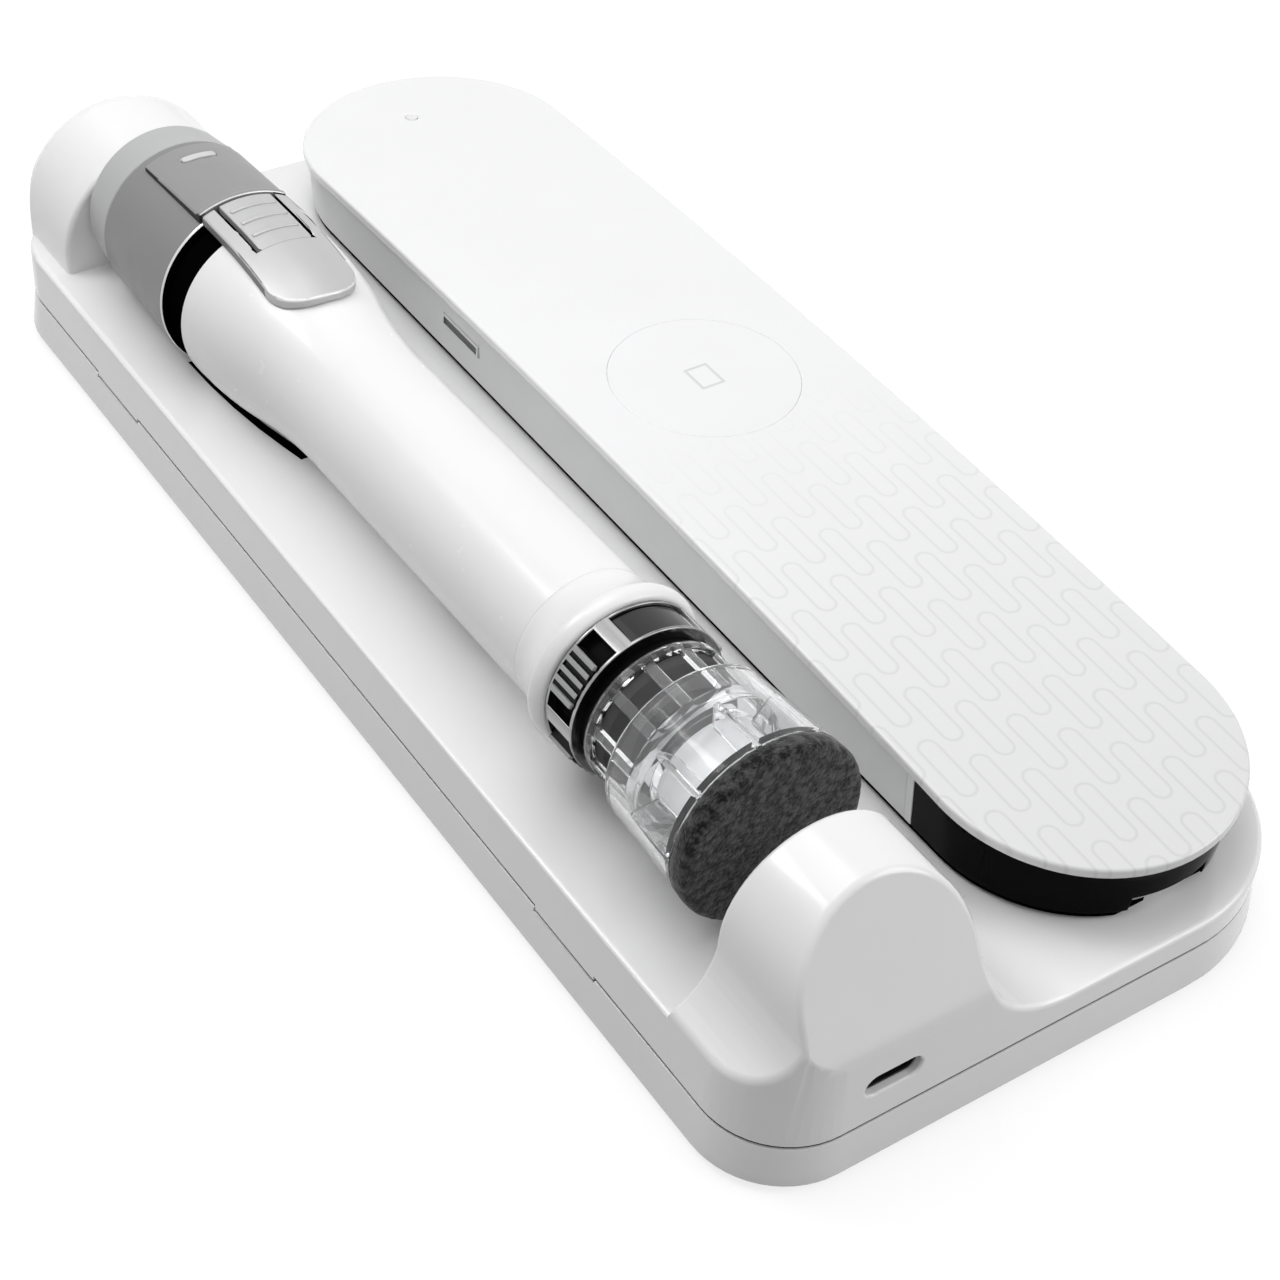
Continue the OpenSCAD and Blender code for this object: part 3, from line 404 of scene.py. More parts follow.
@dataclass(frozen=True)
class Moulded:
    """Moulded plastic or plated metal: a toned colour, uneven gloss and a fine skin."""

    name: str
    slot: str
    colour: Colour
    rough: float = 0.25
    spread: float = 0.03
    metal: float = 0
    coat: float = 0
    coat_rough: float = 0.06
    skin: float = 0.05
    skin_waves: Waves = (1600, 2)
    skin_depth: float = 0.05
    drift_waves: Waves = (60, 4)
    gloss_waves: Waves = (220, 3)
    gloss_span: Span = (0.3, 0.7)
    gloss_swing: Span = (0.85, 1.15)
    stretch: Triple = (1, 1, 1)
    see_through: float = 0
    bend: float = 1.5
    shine: float = 0.5
    # far and change give the cage painted shade next to the chrome and a lighter painted reflection
    # beyond.
    far: Colour | None = None
    change: Span = (0, -1)

    def colouring(self, shade: Shade) -> Socket:
        """The colour with a drift, and a second colour past a change along the object; on chrome the
        drift is painted streaky reflection, on the cage the change is painted shade and reflection.

        Args:
            shade: The material in the making.

        Returns:
            The colour's socket.
        """
        low = tuple(max(c * (1 - self.spread), 0) for c in self.colour)
        high = tuple(min(c * (1 + self.spread / 2), 1) for c in self.colour)
        near = shade.mixed(shade.noise(self.drift_waves, shade.stretched(self.stretch)), low, high)
        if self.far is None:
            return near
        return shade.mixed(shade.ramp(shade.millimetres()[1], self.change), near, self.far)

    def material(self) -> bpy.types.Material:
        """The finish as a material, made once.

        Returns:
            The material.
        """
        if self.name in bpy.data.materials:
            return bpy.data.materials[self.name]
        shade = Shade(self.name)
        where = shade.stretched(self.stretch)
        gloss = shade.noise(self.gloss_waves, where)
        low, high = (self.rough * swing for swing in self.gloss_swing)
        shade.fix(Base_Color=self.colouring(shade), Metallic=self.metal, IOR=self.bend,
                  Roughness=shade.ramp(gloss, self.gloss_span, (low, high)),
                  Coat_Weight=self.coat, Coat_Roughness=self.coat_rough,
                  Transmission_Weight=self.see_through, Specular_IOR_Level=self.shine)
        shade.relief(shade.noise(self.skin_waves, where), self.skin, self.skin_depth)
        return shade.material


@dataclass(frozen=True)
class PrintedLid(Moulded):
    """Lid plastic with a print of staggered loops that fades out, an oblong on the button, and painted
    shade towards the front.
    """

    row: float = 4.2
    pitch: float = 13
    stagger: float = 0.382
    loop_r: float = 1.35
    loop_half: float = 3.6
    line: Span = (0.34, 0.06)
    ink: float = 0.9
    fade: Span = (2, -42)
    # Painted shade: the lid and its print darken towards the front by this factor over this span.
    painted_front_shade: float = 0.86
    painted_front_shade_span: Span = (0, -92)
    mark: Span = (19.8, 5.6)
    mark_half: Span = (1.75, 2.3)
    mark_line: Span = (0.32, 0.12)
    mark_share: float = 0.8
    mark_ink: float = 0.72

    def toned(self, factor: float) -> Colour:
        """The lid's colour, darkened."""
        return tuple(c * factor for c in self.colour)

    def colouring(self, shade: Shade) -> Socket:
        """The plain colour under the loops, darkened towards the front as painted shade, and the oblong
        outline on top.

        Args:
            shade: The material in the making.

        Returns:
            The colour's socket.
        """
        x, y = shade.millimetres()
        lane = shade.math("DIVIDE", x, self.row)
        shift = shade.math("MULTIPLY", shade.math("FLOOR", lane), self.stagger)
        along = shade.math("FRACT", shade.math("ADD", shade.math("DIVIDE", y, self.pitch), shift))
        dx = shade.math("MULTIPLY", shade.gap(shade.math("FRACT", lane), 0.5), self.row)
        dy = shade.math("MULTIPLY", shade.gap(along, 0.5), self.pitch)
        dy = shade.math("MAXIMUM", shade.math("SUBTRACT", dy, self.loop_half), 0)
        squares = [shade.math("MULTIPLY", side, side) for side in (dx, dy)]
        reach = shade.math("SQRT", shade.math("ADD", *squares))
        loops = shade.ramp(shade.gap(reach, self.loop_r), self.line, smooth=True)
        loops = shade.math("MULTIPLY", loops, shade.ramp(y, self.fade, smooth=True))
        # Painted shade towards the front of the lid.
        painted_shade_share = shade.ramp(y, self.painted_front_shade_span)
        base = shade.mixed(painted_shade_share, Moulded.colouring(self, shade), self.toned(self.painted_front_shade))
        tone = shade.mixed(painted_shade_share, self.toned(self.ink), self.toned(self.ink * self.painted_front_shade))
        sides = [shade.math("SUBTRACT", shade.gap(value, at), half)
                 for value, at, half in zip((x, y), self.mark, self.mark_half)]
        edge = shade.math("ABSOLUTE", shade.math("MAXIMUM", *sides))
        share = shade.ramp(edge, self.mark_line, (0, self.mark_share), smooth=True)
        return shade.mixed(share, shade.mixed(loops, base, tone), self.toned(self.mark_ink))


@dataclass(frozen=True)
class Felted:
    """Pressed felt: mottled fibres with a soft sheen."""

    name: str
    slot: str
    dark: Colour
    light: Colour
    clump_waves: Waves = (900, 6)
    hair_waves: Waves = (2600, 4)
    hair_stretch: Triple = (1, 2.4, 0.7)
    hair_turn: Triple = (20, 30, 10)
    clump_share: float = 0.62
    contrast: Span = (0.43, 0.59)
    nap: float = 0.9
    nap_depth: float = 0.5
    rough: float = 0.95
    sheen: float = 0.35
    sheen_rough: float = 0.5
    shine: float = 0.1

    def material(self) -> bpy.types.Material:
        """The finish as a material.

        Returns:
            The material.
        """
        shade = Shade(self.name)
        clumps = shade.noise(self.clump_waves)
        hairs = shade.noise(self.hair_waves, shade.stretched(self.hair_stretch, self.hair_turn))
        both = shade.math("ADD", shade.math("MULTIPLY", clumps, self.clump_share),
                          shade.math("MULTIPLY", hairs, 1 - self.clump_share))
        shade.fix(Base_Color=shade.mixed(shade.ramp(both, self.contrast), self.dark, self.light),
                  Roughness=self.rough, Sheen_Weight=self.sheen, Sheen_Roughness=self.sheen_rough,
                  Specular_IOR_Level=self.shine)
        shade.relief(both, self.nap, self.nap_depth)
        return shade.material


Finish = Moulded | Felted


class Look:
    """Every finish of the object, by what it is on."""

    CRADLE = Moulded("cradle_gloss", "cradle_white", grey(0.93), 0.2, coat=0.3)
    BASE = Moulded("base_gloss", "base_white", grey(0.93), 0.22, coat=0.2)
    SLEEVE = Moulded("sleeve_gloss", "marker_white", grey(0.94), 0.24, coat=0.15)
    LID = PrintedLid("lid_print", "lid_white", (0.905, 0.907, 0.915), 0.22, coat=0.2, skin=0.02)
    BAND = Moulded("band_satin", "band_grey", grey(0.74, 0.004), 0.4, spread=0.02)
    STRIP = Moulded("strip_satin", "strip_grey", grey(0.78), 0.35)
    WINDOW = Moulded("window_gloss", "window_black", grey(0.002), 0.05, skin=0.01, shine=0.02)
    RING = Moulded("ring_satin", "ring_grey", grey(0.5, 0.003), 0.42)
    COLLAR = Moulded("collar_satin", "collar_grey", grey(0.25), 0.38, skin=0.12, skin_waves=(2600, 2))
    PLATE = Moulded("plate_satin", "panel_grey", grey(0.3), 0.36, skin=0.12, skin_waves=(2600, 2))
    TONGUE = Moulded("silver_paint", "tongue_silver", grey(0.56), 0.36, metal=0.3, spread=0.05,
                     stretch=(6, 0.5, 6), skin=0.1)
    # Painted shade: the tongue's side walls are painted dark grey where shade falls.
    TONGUE_WALL_SHADE = Moulded("tongue_wall_painted_shade", "tongue_silver", grey(0.2), 0.4, metal=0.35, shine=0.2)
    # Painted highlight: near-white on the soft front edges of the tongue and plate and on the collar's
    # rim.
    PAINTED_HIGHLIGHT = Moulded("painted_highlight_rim", "tongue_silver", grey(0.88), 0.2, metal=0.2)
    # Painted shade: near-black on the plate's side walls.
    PLATE_WALL_SHADE = Moulded("plate_wall_painted_shade", "panel_grey", grey(0.03), 0.5, shine=0.1)
    # The strong drift along stretched noise is painted streaky reflection on the chrome.
    CHROME = Moulded("chrome_plate", "chrome", grey(0.36), 0.2, metal=1, spread=0.85,
                     stretch=(8, 0.2, 8), skin=0.01)
    CLEAR = Moulded("clear_moulding", "clear", (0.98, 0.985, 0.99), 0.03, see_through=0.96, bend=1.32,
                    skin=0.02, spread=0.01)
    CUP = Moulded("cup_satin", "cup_pale", grey(0.95, 0.008), 0.3)
    # Painted light on the black cage: black next to the chrome as painted shade, lighter grey beyond as
    # painted reflection.
    CAGE = Moulded("cage_painted_shade_and_reflection", "black_plastic", grey(0.002), 0.5, shine=0.04, far=grey(0.08),
                   change=(-50.9, -51.4))
    FELT = Felted("pressed_felt", "felt", grey(0.002), grey(0.085))
    # Painted shadow: the near-black strip in the seam between the shells.
    SEAM_SHADOW = Moulded("seam_painted_shadow", "black_plastic", grey(0.004), 0.6, shine=0.05)
    # Black satin for black parts, and also painted shade on slot walls, the collar's end, the tab tray,
    # the sheet by the bay and the ring under the bar.
    BLACK = Moulded("black_satin_and_painted_shade", "black_plastic", grey(0.0015), 0.7, shine=0.0)
    LAMP = Moulded("lamp_diffuser", "lamp", grey(0.66), 0.35)
    LID_LAMP = Moulded("lid_lamp", "lamp", grey(0.84), 0.35)
    # Painted shade: dark grey in the recess sunk into the side key.
    KEY_SLOT_SHADE = Moulded("key_slot_painted_shade", "band_grey", grey(0.2), 0.6, shine=0.1)
    LENS = Moulded("lens_bed", "emitter", grey(0.006), 0.2, shine=0.15, skin=0.02)
    # Painted highlight: lighter grey on the rib tops of the lens blocks.
    LENS_RIB_HIGHLIGHT = Moulded("lens_rib_painted_highlight", "emitter", grey(0.36, 0.004), 0.12, coat=0.6, skin=0.02)
    GOLD = Moulded("gold_plate", "contact_gold", (0.83, 0.6, 0.25), 0.2, metal=1)
    STEEL = Moulded("plain_steel", "steel", grey(0.56), 0.3, metal=1, stretch=(1, 8, 1), skin=0.15)
    # Painted shade: the inlet's steel shell darkened nearly to black.
    SOCKET_SHADE = Moulded("socket_painted_shade", "steel", grey(0.05), 0.5, metal=1, stretch=(1, 8, 1), skin=0.15)
    RUBBER = Moulded("rubber_matt", "foot_rubber", grey(0.05), 0.8, skin=0.4, skin_waves=(3000, 2))
    BOARD = Moulded("solder_mask", "board", (0.012, 0.1, 0.035), 0.3, spread=0.35, coat=0.2)
    CELL = Moulded("cell_wrap", "cell", (0.1, 0.17, 0.28), 0.4, spread=0.1)
    PEN = Moulded("pen_gloss", "pen_body", (0.8, 0.78, 0.68), 0.25)
    PANE = Moulded("pane_tint", "emitter", grey(0.02), 0.08, shine=0.35, skin=0.01)
    NIB = Felted("nib_fibre", "nib", grey(0.006), grey(0.03))


def paint(piece: Piece, finish: Finish) -> None:
    """Gives a piece one finish all over."""
    piece.data.materials.clear()
    piece.data.materials.append(finish.material())


def fitted(piece: Piece, body: Body, finish: Finish, *nodes: str,
           trims: Sequence[tuple[Finish, FaceTest]] = ()) -> Piece:
    """Paints a new piece and hangs it on its body in place of solids.

    Args:
        piece: The finished mesh object.
        body: The body that it moves with.
        finish: Its finish.
        nodes: The solids that it stands for.
        trims: Finishes of some faces, with tests by normal and middle in millimetres.

    Returns:
        The same piece.
    """
    paint(piece, finish)
    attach(piece, body.value)
    if nodes:
        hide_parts(*nodes)
    for index, (trim, test) in enumerate(trims, 1):
        piece.data.materials.append(trim.material())
        for face in piece.data.polygons:
            if test(face.normal, face.center / MM):
                face.material_index = index
    LOG.info("%s on %s: %d faces", piece.name, body.value, len(piece.data.polygons))
    return piece


def rounded(body: Body, *rows: tuple[str, str, Finish, float]) -> None:
    """Rounds solids all over and fits them on a body, by rows of solid, name, finish and width."""
    for node, name, finish, rim in rows:
        fitted(softened(node, name, Rounding(rim)), body, finish, node)


class Assembly:
    """A sub-assembly, sized in millimetres, and the solids that keep their shape, by finish."""

    plain: ClassVar[Sequence[tuple[Finish, str]]] = ()

    def dress(self) -> None:
        """Paints the solids that keep their shape."""
        for finish, nodes in self.plain:
            for node in nodes.split():
                paint(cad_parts[node], finish)
                LOG.info("%s keeps its solid", node)


@dataclass
class Cradle(Assembly):
    """The charging cradle: two shells, inlet, feet and contacts."""

    wall_x: float = -44.7
    front_y: float = -100
    parting_z: float = 7.4
    seam: float = 0.5
    rim: float = 0.8
    seam_rim: float = 0.12
    seam_z: Span = (6.8, 8)
    foot_z: float = 1.6
    lip_rim: float = 0.4
    deck_z: float = 15.4
    post_z: float = 16.4
    outer_z: float = 10.4
    outer_turn: float = 45
    outer_rise: float = 0.2
    cut_l: float = 20
    lean_y: float = -98
    lean_z: Span = (19, 24.3)
    lean_weld: float = 0.8
    wall_cuts: tuple[float, ...] = (9, 10.5, 12, 13.5, 15, 16.5, 18, 19.5, 21, 22)
    inlet_z: float = 13.95
    inlet_reach: float = 5
    inlet_half: float = 2.4
    inlet_depth: float = 4
    inlet_recess: float = 2.1
    inlet_grow: float = 1.1
    # Inset of the painted seam shadow from the outer wall.
    seam_shadow_in: float = 0.22
    latch_y: Span = (-60, 62)
    latch_half: float = 6.6
    latch_drop: float = 0.7
    latch_t: float = 1.2
    bay_x: float = -26.7
    # Painted shadow on the deck beside the marker's flare: place along, near and far reach, in
    # millimetres.
    bay_shadow: tuple[Triple, ...] = (
        (54.6, 9, 9.75), (48, 8.4, 9.5), (42, 7.8, 8.95), (36, 6.8, 8.1), (31, 5.6, 7.1),
        (27, 4.6, 6.2))
    bay_shadow_t: float = 0.06
    plain = (
        (Look.RUBBER, "cradle_feet marker_saddle"), (Look.STEEL, "cradle_screws"),
        (Look.BOARD, "cradle_board inlet_board"),
        (Look.BLACK, "inlet_tongue bed_contact_block post_contact_block"),
        (Look.GOLD, "bed_pins post_pins"))

    def build(self) -> None:
        """Builds the shells, the painted shadow in their seam and beside the bay, and dresses the small
        solids.
        """
        self.shells()
        self.painted_seam_shadow()
        self.inlet()
        self.painted_bay_shadow()
        self.dress()

    def by_inlet(self, at: Vector) -> bool:
        """Whether a place lies on the front wall round the inlet."""
        return (at.y < self.front_y + self.inlet_depth and abs(at.x - self.bay_x) < self.inlet_reach
                and abs(at.z - self.inlet_z) < self.inlet_half)

    def in_contact_hole(self, at: Vector) -> bool:
        """Whether a place lies on the rim of a hole for a contact block."""
        blocks = [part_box(node) for node in ("bed_contact_block", "post_contact_block")]
        return any(all(low[i] / MM - 2 * NEAR < at[i] < high[i] / MM + 2 * NEAR for i in range(3))
                   for low, high in blocks)

    def outer(self, edge: Edge) -> bool:
        """Whether an edge is a visible edge of the upper shell above its seam."""
        at = middle(edge)
        return (convex(edge, self.outer_turn) and at.z > self.outer_z
                and (at.z > self.post_z or any(f.normal.z > self.outer_rise for f in edge.link_faces))
                and not self.by_inlet(at) and not self.in_contact_hole(at))

    def on_lean(self, at: Vector) -> bool:
        """Whether a place lies on the outline of the rounding under the leaning face."""
        low, high = self.lean_z
        return at.y < self.lean_y and low < at.z < high and not self.by_inlet(at)

    def inlet_lip(self, edge: Edge) -> bool:
        """Whether an edge is the outer rim of the inlet's opening."""
        at = middle(edge)
        return convex(edge) and at.y < self.front_y + 2 * NEAR and self.by_inlet(at)

    def shells(self) -> None:
        """Rounds the upper shell with its two posts, and the lower shell."""
        upper = softened(
            "cradle_top_shell", "cradle_upper_shell",
            Rounding(self.lip_rim, self.inlet_lip, 4),
            Rounding(self.rim, self.outer, 4, slide=False),
            Rounding(self.seam_rim, lambda e: convex(e) and middle(e).z < self.seam_z[1], 2),
            weld=(self.on_lean, self.lean_weld),
            cuts=(lambda at: at.y < self.front_y + self.cut_l, self.wall_cuts))
        fitted(upper, Body.CRADLE, Look.CRADLE, "cradle_top_shell")
        lower = softened(
            "cradle_bottom_shell", "cradle_lower_shell",
            Rounding(self.rim, lambda e: convex(e) and middle(e).z < self.foot_z),
            Rounding(self.seam_rim, lambda e: convex(e) and middle(e).z > self.seam_z[0], 2))
        fitted(lower, Body.CRADLE, Look.BASE, "cradle_bottom_shell")

    def painted_seam_shadow(self) -> None:
        """Raises a near-black strip in the seam from the lower shell as painted shadow, and lays one
        under each latch.
        """
        ledge_z = self.parting_z - self.seam / 2
        strip = softened("cradle_bottom_shell", "cradle_seam_painted_shadow")
        with shaping(strip):
            choose(strip, Pick.FACE, lambda f: (
                f.normal.z < FACING or abs(f.calc_center_median().z / MM - ledge_z) > NEAR))
            bpy.ops.mesh.delete(type="FACE")
            pick_all()
            push((0, 0, self.seam * MM))
            pick_all()
            shrink = (1 + self.seam_shadow_in / self.wall_x, 1 + self.seam_shadow_in / self.front_y, 1)
            bpy.ops.transform.resize(value=shrink, center_override=(0, 0, 0))
            depth = self.latch_t - self.seam_shadow_in
            size = Vector((depth, 2 * self.latch_half, self.seam)) * MM
            x, z = self.wall_x + self.seam_shadow_in + depth / 2, self.parting_z - self.latch_drop
            for y in self.latch_y:
                bpy.ops.mesh.primitive_cube_add(size=1, location=Vector((x, y, z)) * MM, scale=size)
            face_outward()
        faired(strip)
        fitted(strip, Body.CRADLE, Look.SEAM_SHADOW)

    def inlet(self) -> None:
        """Draws the inlet's shell out to the depth at which it shows, painted dark as shade."""
        rim_y = self.front_y + self.inlet_recess
        shell = softened("inlet_socket", "inlet_shell",
                         shift=(lambda at: abs(at.y - rim_y) < NEAR, Vector((0, -self.inlet_grow, 0))))
        fitted(shell, Body.CRADLE, Look.SOCKET_SHADE, "inlet_socket")

    def painted_bay_shadow(self) -> None:
        """Lays a thin black sheet on the deck beside the marker's flare as painted shadow."""
        inner = [(-near, y) for y, near, _ in self.bay_shadow]
        outer = [(-far, y) for y, _, far in reversed(self.bay_shadow)]
        shadow_sheet = drawn("cradle_bay_painted_shadow", [*inner, *outer])
        flat = Matrix.Rotation(-math.pi / 2, 4, "X")
        set_down(shadow_sheet, Matrix.Translation(Vector((self.bay_x, 0, self.deck_z)) * MM) @ flat)
        with shaping(shadow_sheet, Pick.POINT):
            pick_all()
            bpy.ops.mesh.edge_face_add()
            push((0, 0, self.bay_shadow_t * MM))
            face_outward()
        faired(shadow_sheet)
        fitted(shadow_sheet, Body.CRADLE, Look.BLACK)


@dataclass
class Marker(Assembly):
    """The marker sleeve along its own tilted axis, from its docked end."""

    dock: Triple = (-26.7, 81.947, 25)
    tilt: float = 1.7
    hinge_u: float = 39.6
    hinge_r: float = 13.8
    hinge_half: float = 5.85
    hinge_draw: float = 0.29
    hinge_slack: float = 0.02
    root_u: float = 40.6
    slot_x: Span = (3.65, 5.25)
    side_turn: float = 0.6
    top_turn: Span = (0.4, 0.96)
    front_turn: float = 0.3
    tongue_rim: float = 0.3
    tab_rim: float = 0.16
    collar_u: float = 27.3
    near_u: float = 0.5
    rim_turn: float = 0.15
    end_turn: float = 0.5
    lip_u: float = 116.6
    lip_l: float = 0.3
    lip_rim: float = 0.08
    tongue_turn: float = -2
    tip_u: float = 46
    well_half: float = 4.6
    well_u: Span = (27.75, 40.2)
    well_y: Span = (11.52, 11.95)
    well_wall: float = 0.1
    place: Matrix = field(init=False)
    plain = (
        (Look.BLACK, "gap_ring tip_switch ink_neck"), (Look.CAGE, "sensor_cage"),
        (Look.GOLD, "end_contacts"), (Look.CELL, "marker_battery"), (Look.BOARD, "marker_board"),
        (Look.PEN, "ink_barrel"), (Look.NIB, "ink_nib"))

    def __post_init__(self) -> None:
        """Works out where the marker's own axes lie."""
        turn = Matrix.Rotation(math.radians(90 - self.tilt), 4, "X")
        self.place = Matrix.Translation(Vector(self.dock) * MM) @ turn

    def own(self, at: Vector) -> Vector:
        """A place along the marker's own axes, in millimetres."""
        return self.place.inverted() @ (at * MM) / MM

    def look(self, normal: Vector) -> Vector:
        """A direction along the marker's own axes."""
        return self.place.to_3x3().transposed() @ normal

    def at_shaded_wall(self, normal: Vector, at: Vector) -> bool:
        """Whether a face is an outer wall on top of the marker, short of the tongue's tip, which gets
        painted shade.
        """
        own = self.own(at)
        return self.look(normal).y < self.top_turn[0] and own.z < self.tip_u and (
            abs(own.x) > self.slot_x[1] or own.z > self.root_u)

    def at_highlight_rim(self, normal: Vector, at: Vector) -> bool:
        """Whether a face belongs to the soft edge towards the nose, which gets a painted highlight."""
        look = self.look(normal)
        return self.top_turn[0] <= look.y < self.top_turn[1] and look.z > self.front_turn

    def at_collar_highlight(self, normal: Vector, at: Vector) -> bool:
        """Whether a face of the collar turns to the nose beside the black gap, which gets a painted
        highlight.
        """
        return self.look(normal).z > self.rim_turn and abs(self.own(at).z - self.collar_u) < self.near_u

    def at_collar_shaded_end(self, normal: Vector, at: Vector) -> bool:
        """Whether a face of the collar's rim looks into the black gap, which gets painted shade."""
        return self.at_collar_highlight(normal, at) and self.look(normal).z > self.end_turn

    def in_shaded_slot(self, normal: Vector, at: Vector) -> bool:
        """Whether a face stands upright beside the release tab, which gets painted shade."""
        own, look = self.own(at), self.look(normal)
        return (abs(look.x) > self.side_turn and self.slot_x[0] < abs(own.x) < self.slot_x[1]
                and own.z < self.root_u)

    def at_lip(self, edge: Edge) -> bool:
        """Whether an edge lies where the sleeve meets its front ring."""
        return convex(edge) and abs(self.own(middle(edge)).z - self.lip_u) < self.lip_l

    def off_hinge(self, edge: Edge) -> bool:
        """Whether an edge stands out away from the release tab's hinge end."""
        at = self.own(middle(edge))
        return convex(edge) and (abs(at.z - self.hinge_u) >= self.near_u or abs(at.x) >= self.hinge_half)

    def on_hinge_edge(self, at: Vector) -> bool:
        """Whether a place lies on the upper edge of the release tab's hinge end."""
        own = self.own(at)
        return own.z > self.hinge_u - self.hinge_slack and own.xy.length > self.hinge_r

    def build(self) -> None:
        """Builds the sleeve from its end ring to its front ring."""
        # Trims paint highlights on soft front edges and rims, and shade on walls, slot walls and the
        # collar's end.
        front_highlight = (Look.PAINTED_HIGHLIGHT, self.at_highlight_rim)
        collar = ((Look.PAINTED_HIGHLIGHT, self.at_collar_highlight), (Look.BLACK, self.at_collar_shaded_end))
        plate = ((Look.PLATE_WALL_SHADE, self.at_shaded_wall), front_highlight)
        for node, name, finish, rim, trims in (
            ("end_ring", "marker_end_ring", Look.RING, 0.35, ()),
            ("rear_collar", "marker_collar", Look.COLLAR, 0.3, collar),
            ("collar_panel", "marker_plate", Look.PLATE, 0.35, plate),
            ("marker_barrel", "marker_sleeve", Look.SLEEVE, 0.45, ()),
            ("front_ring", "marker_lip", Look.SLEEVE, 0.35, ()),
            ("status_light", "marker_lamp", Look.LAMP, 0.15, ()),
        ):
            rounds = (Rounding(rim, lambda e: convex(e) and not self.at_lip(e)),
                      Rounding(self.lip_rim, self.at_lip, 2))
            fitted(softened(node, name, *rounds), Body.MARKER, finish, node, trims=trims)
        tongue = softened("tongue", "marker_tongue", Rounding(self.tongue_rim, self.off_hinge))
        # Painted shade on the upright walls beside the release tab.
        slot = (Look.BLACK, self.in_shaded_slot)
        fitted(tongue, Body.MARKER, Look.TONGUE, "tongue",
               trims=((Look.TONGUE_WALL_SHADE, self.at_shaded_wall), front_highlight, slot))
        reach = self.place.to_3x3() @ Vector((0, 0, self.hinge_draw))
        tab = softened("release_tab", "marker_tab", Rounding(self.tab_rim, self.off_hinge, slide=False),
                       shift=(self.on_hinge_edge, reach))
        fitted(tab, Body.TAB, Look.TONGUE, "release_tab", trims=(slot,))
        self.tab_shadow_well()
        self.dress()

    def tab_shadow_well(self) -> None:
        """Models a dark tray as painted shade, showing in the slots beside the release tab."""
        (low, high), (start, end) = self.well_y, self.well_u
        well = block("marker_tab_shadow_well", (2 * self.well_half, high - low, end - start),
                     (0, (low + high) / 2, (start + end) / 2))
        with shaping(well):
            choose(well, Pick.FACE, lambda f: f.normal.y > FACING)
            bpy.ops.mesh.inset(thickness=self.well_wall * MM)
            push((0, (low + self.well_wall - high) * MM, 0))
        set_down(well, self.place @ Matrix.Rotation(math.radians(self.tongue_turn), 4, "Z"))
        faired(well)
        fitted(well, Body.MARKER, Look.BLACK)


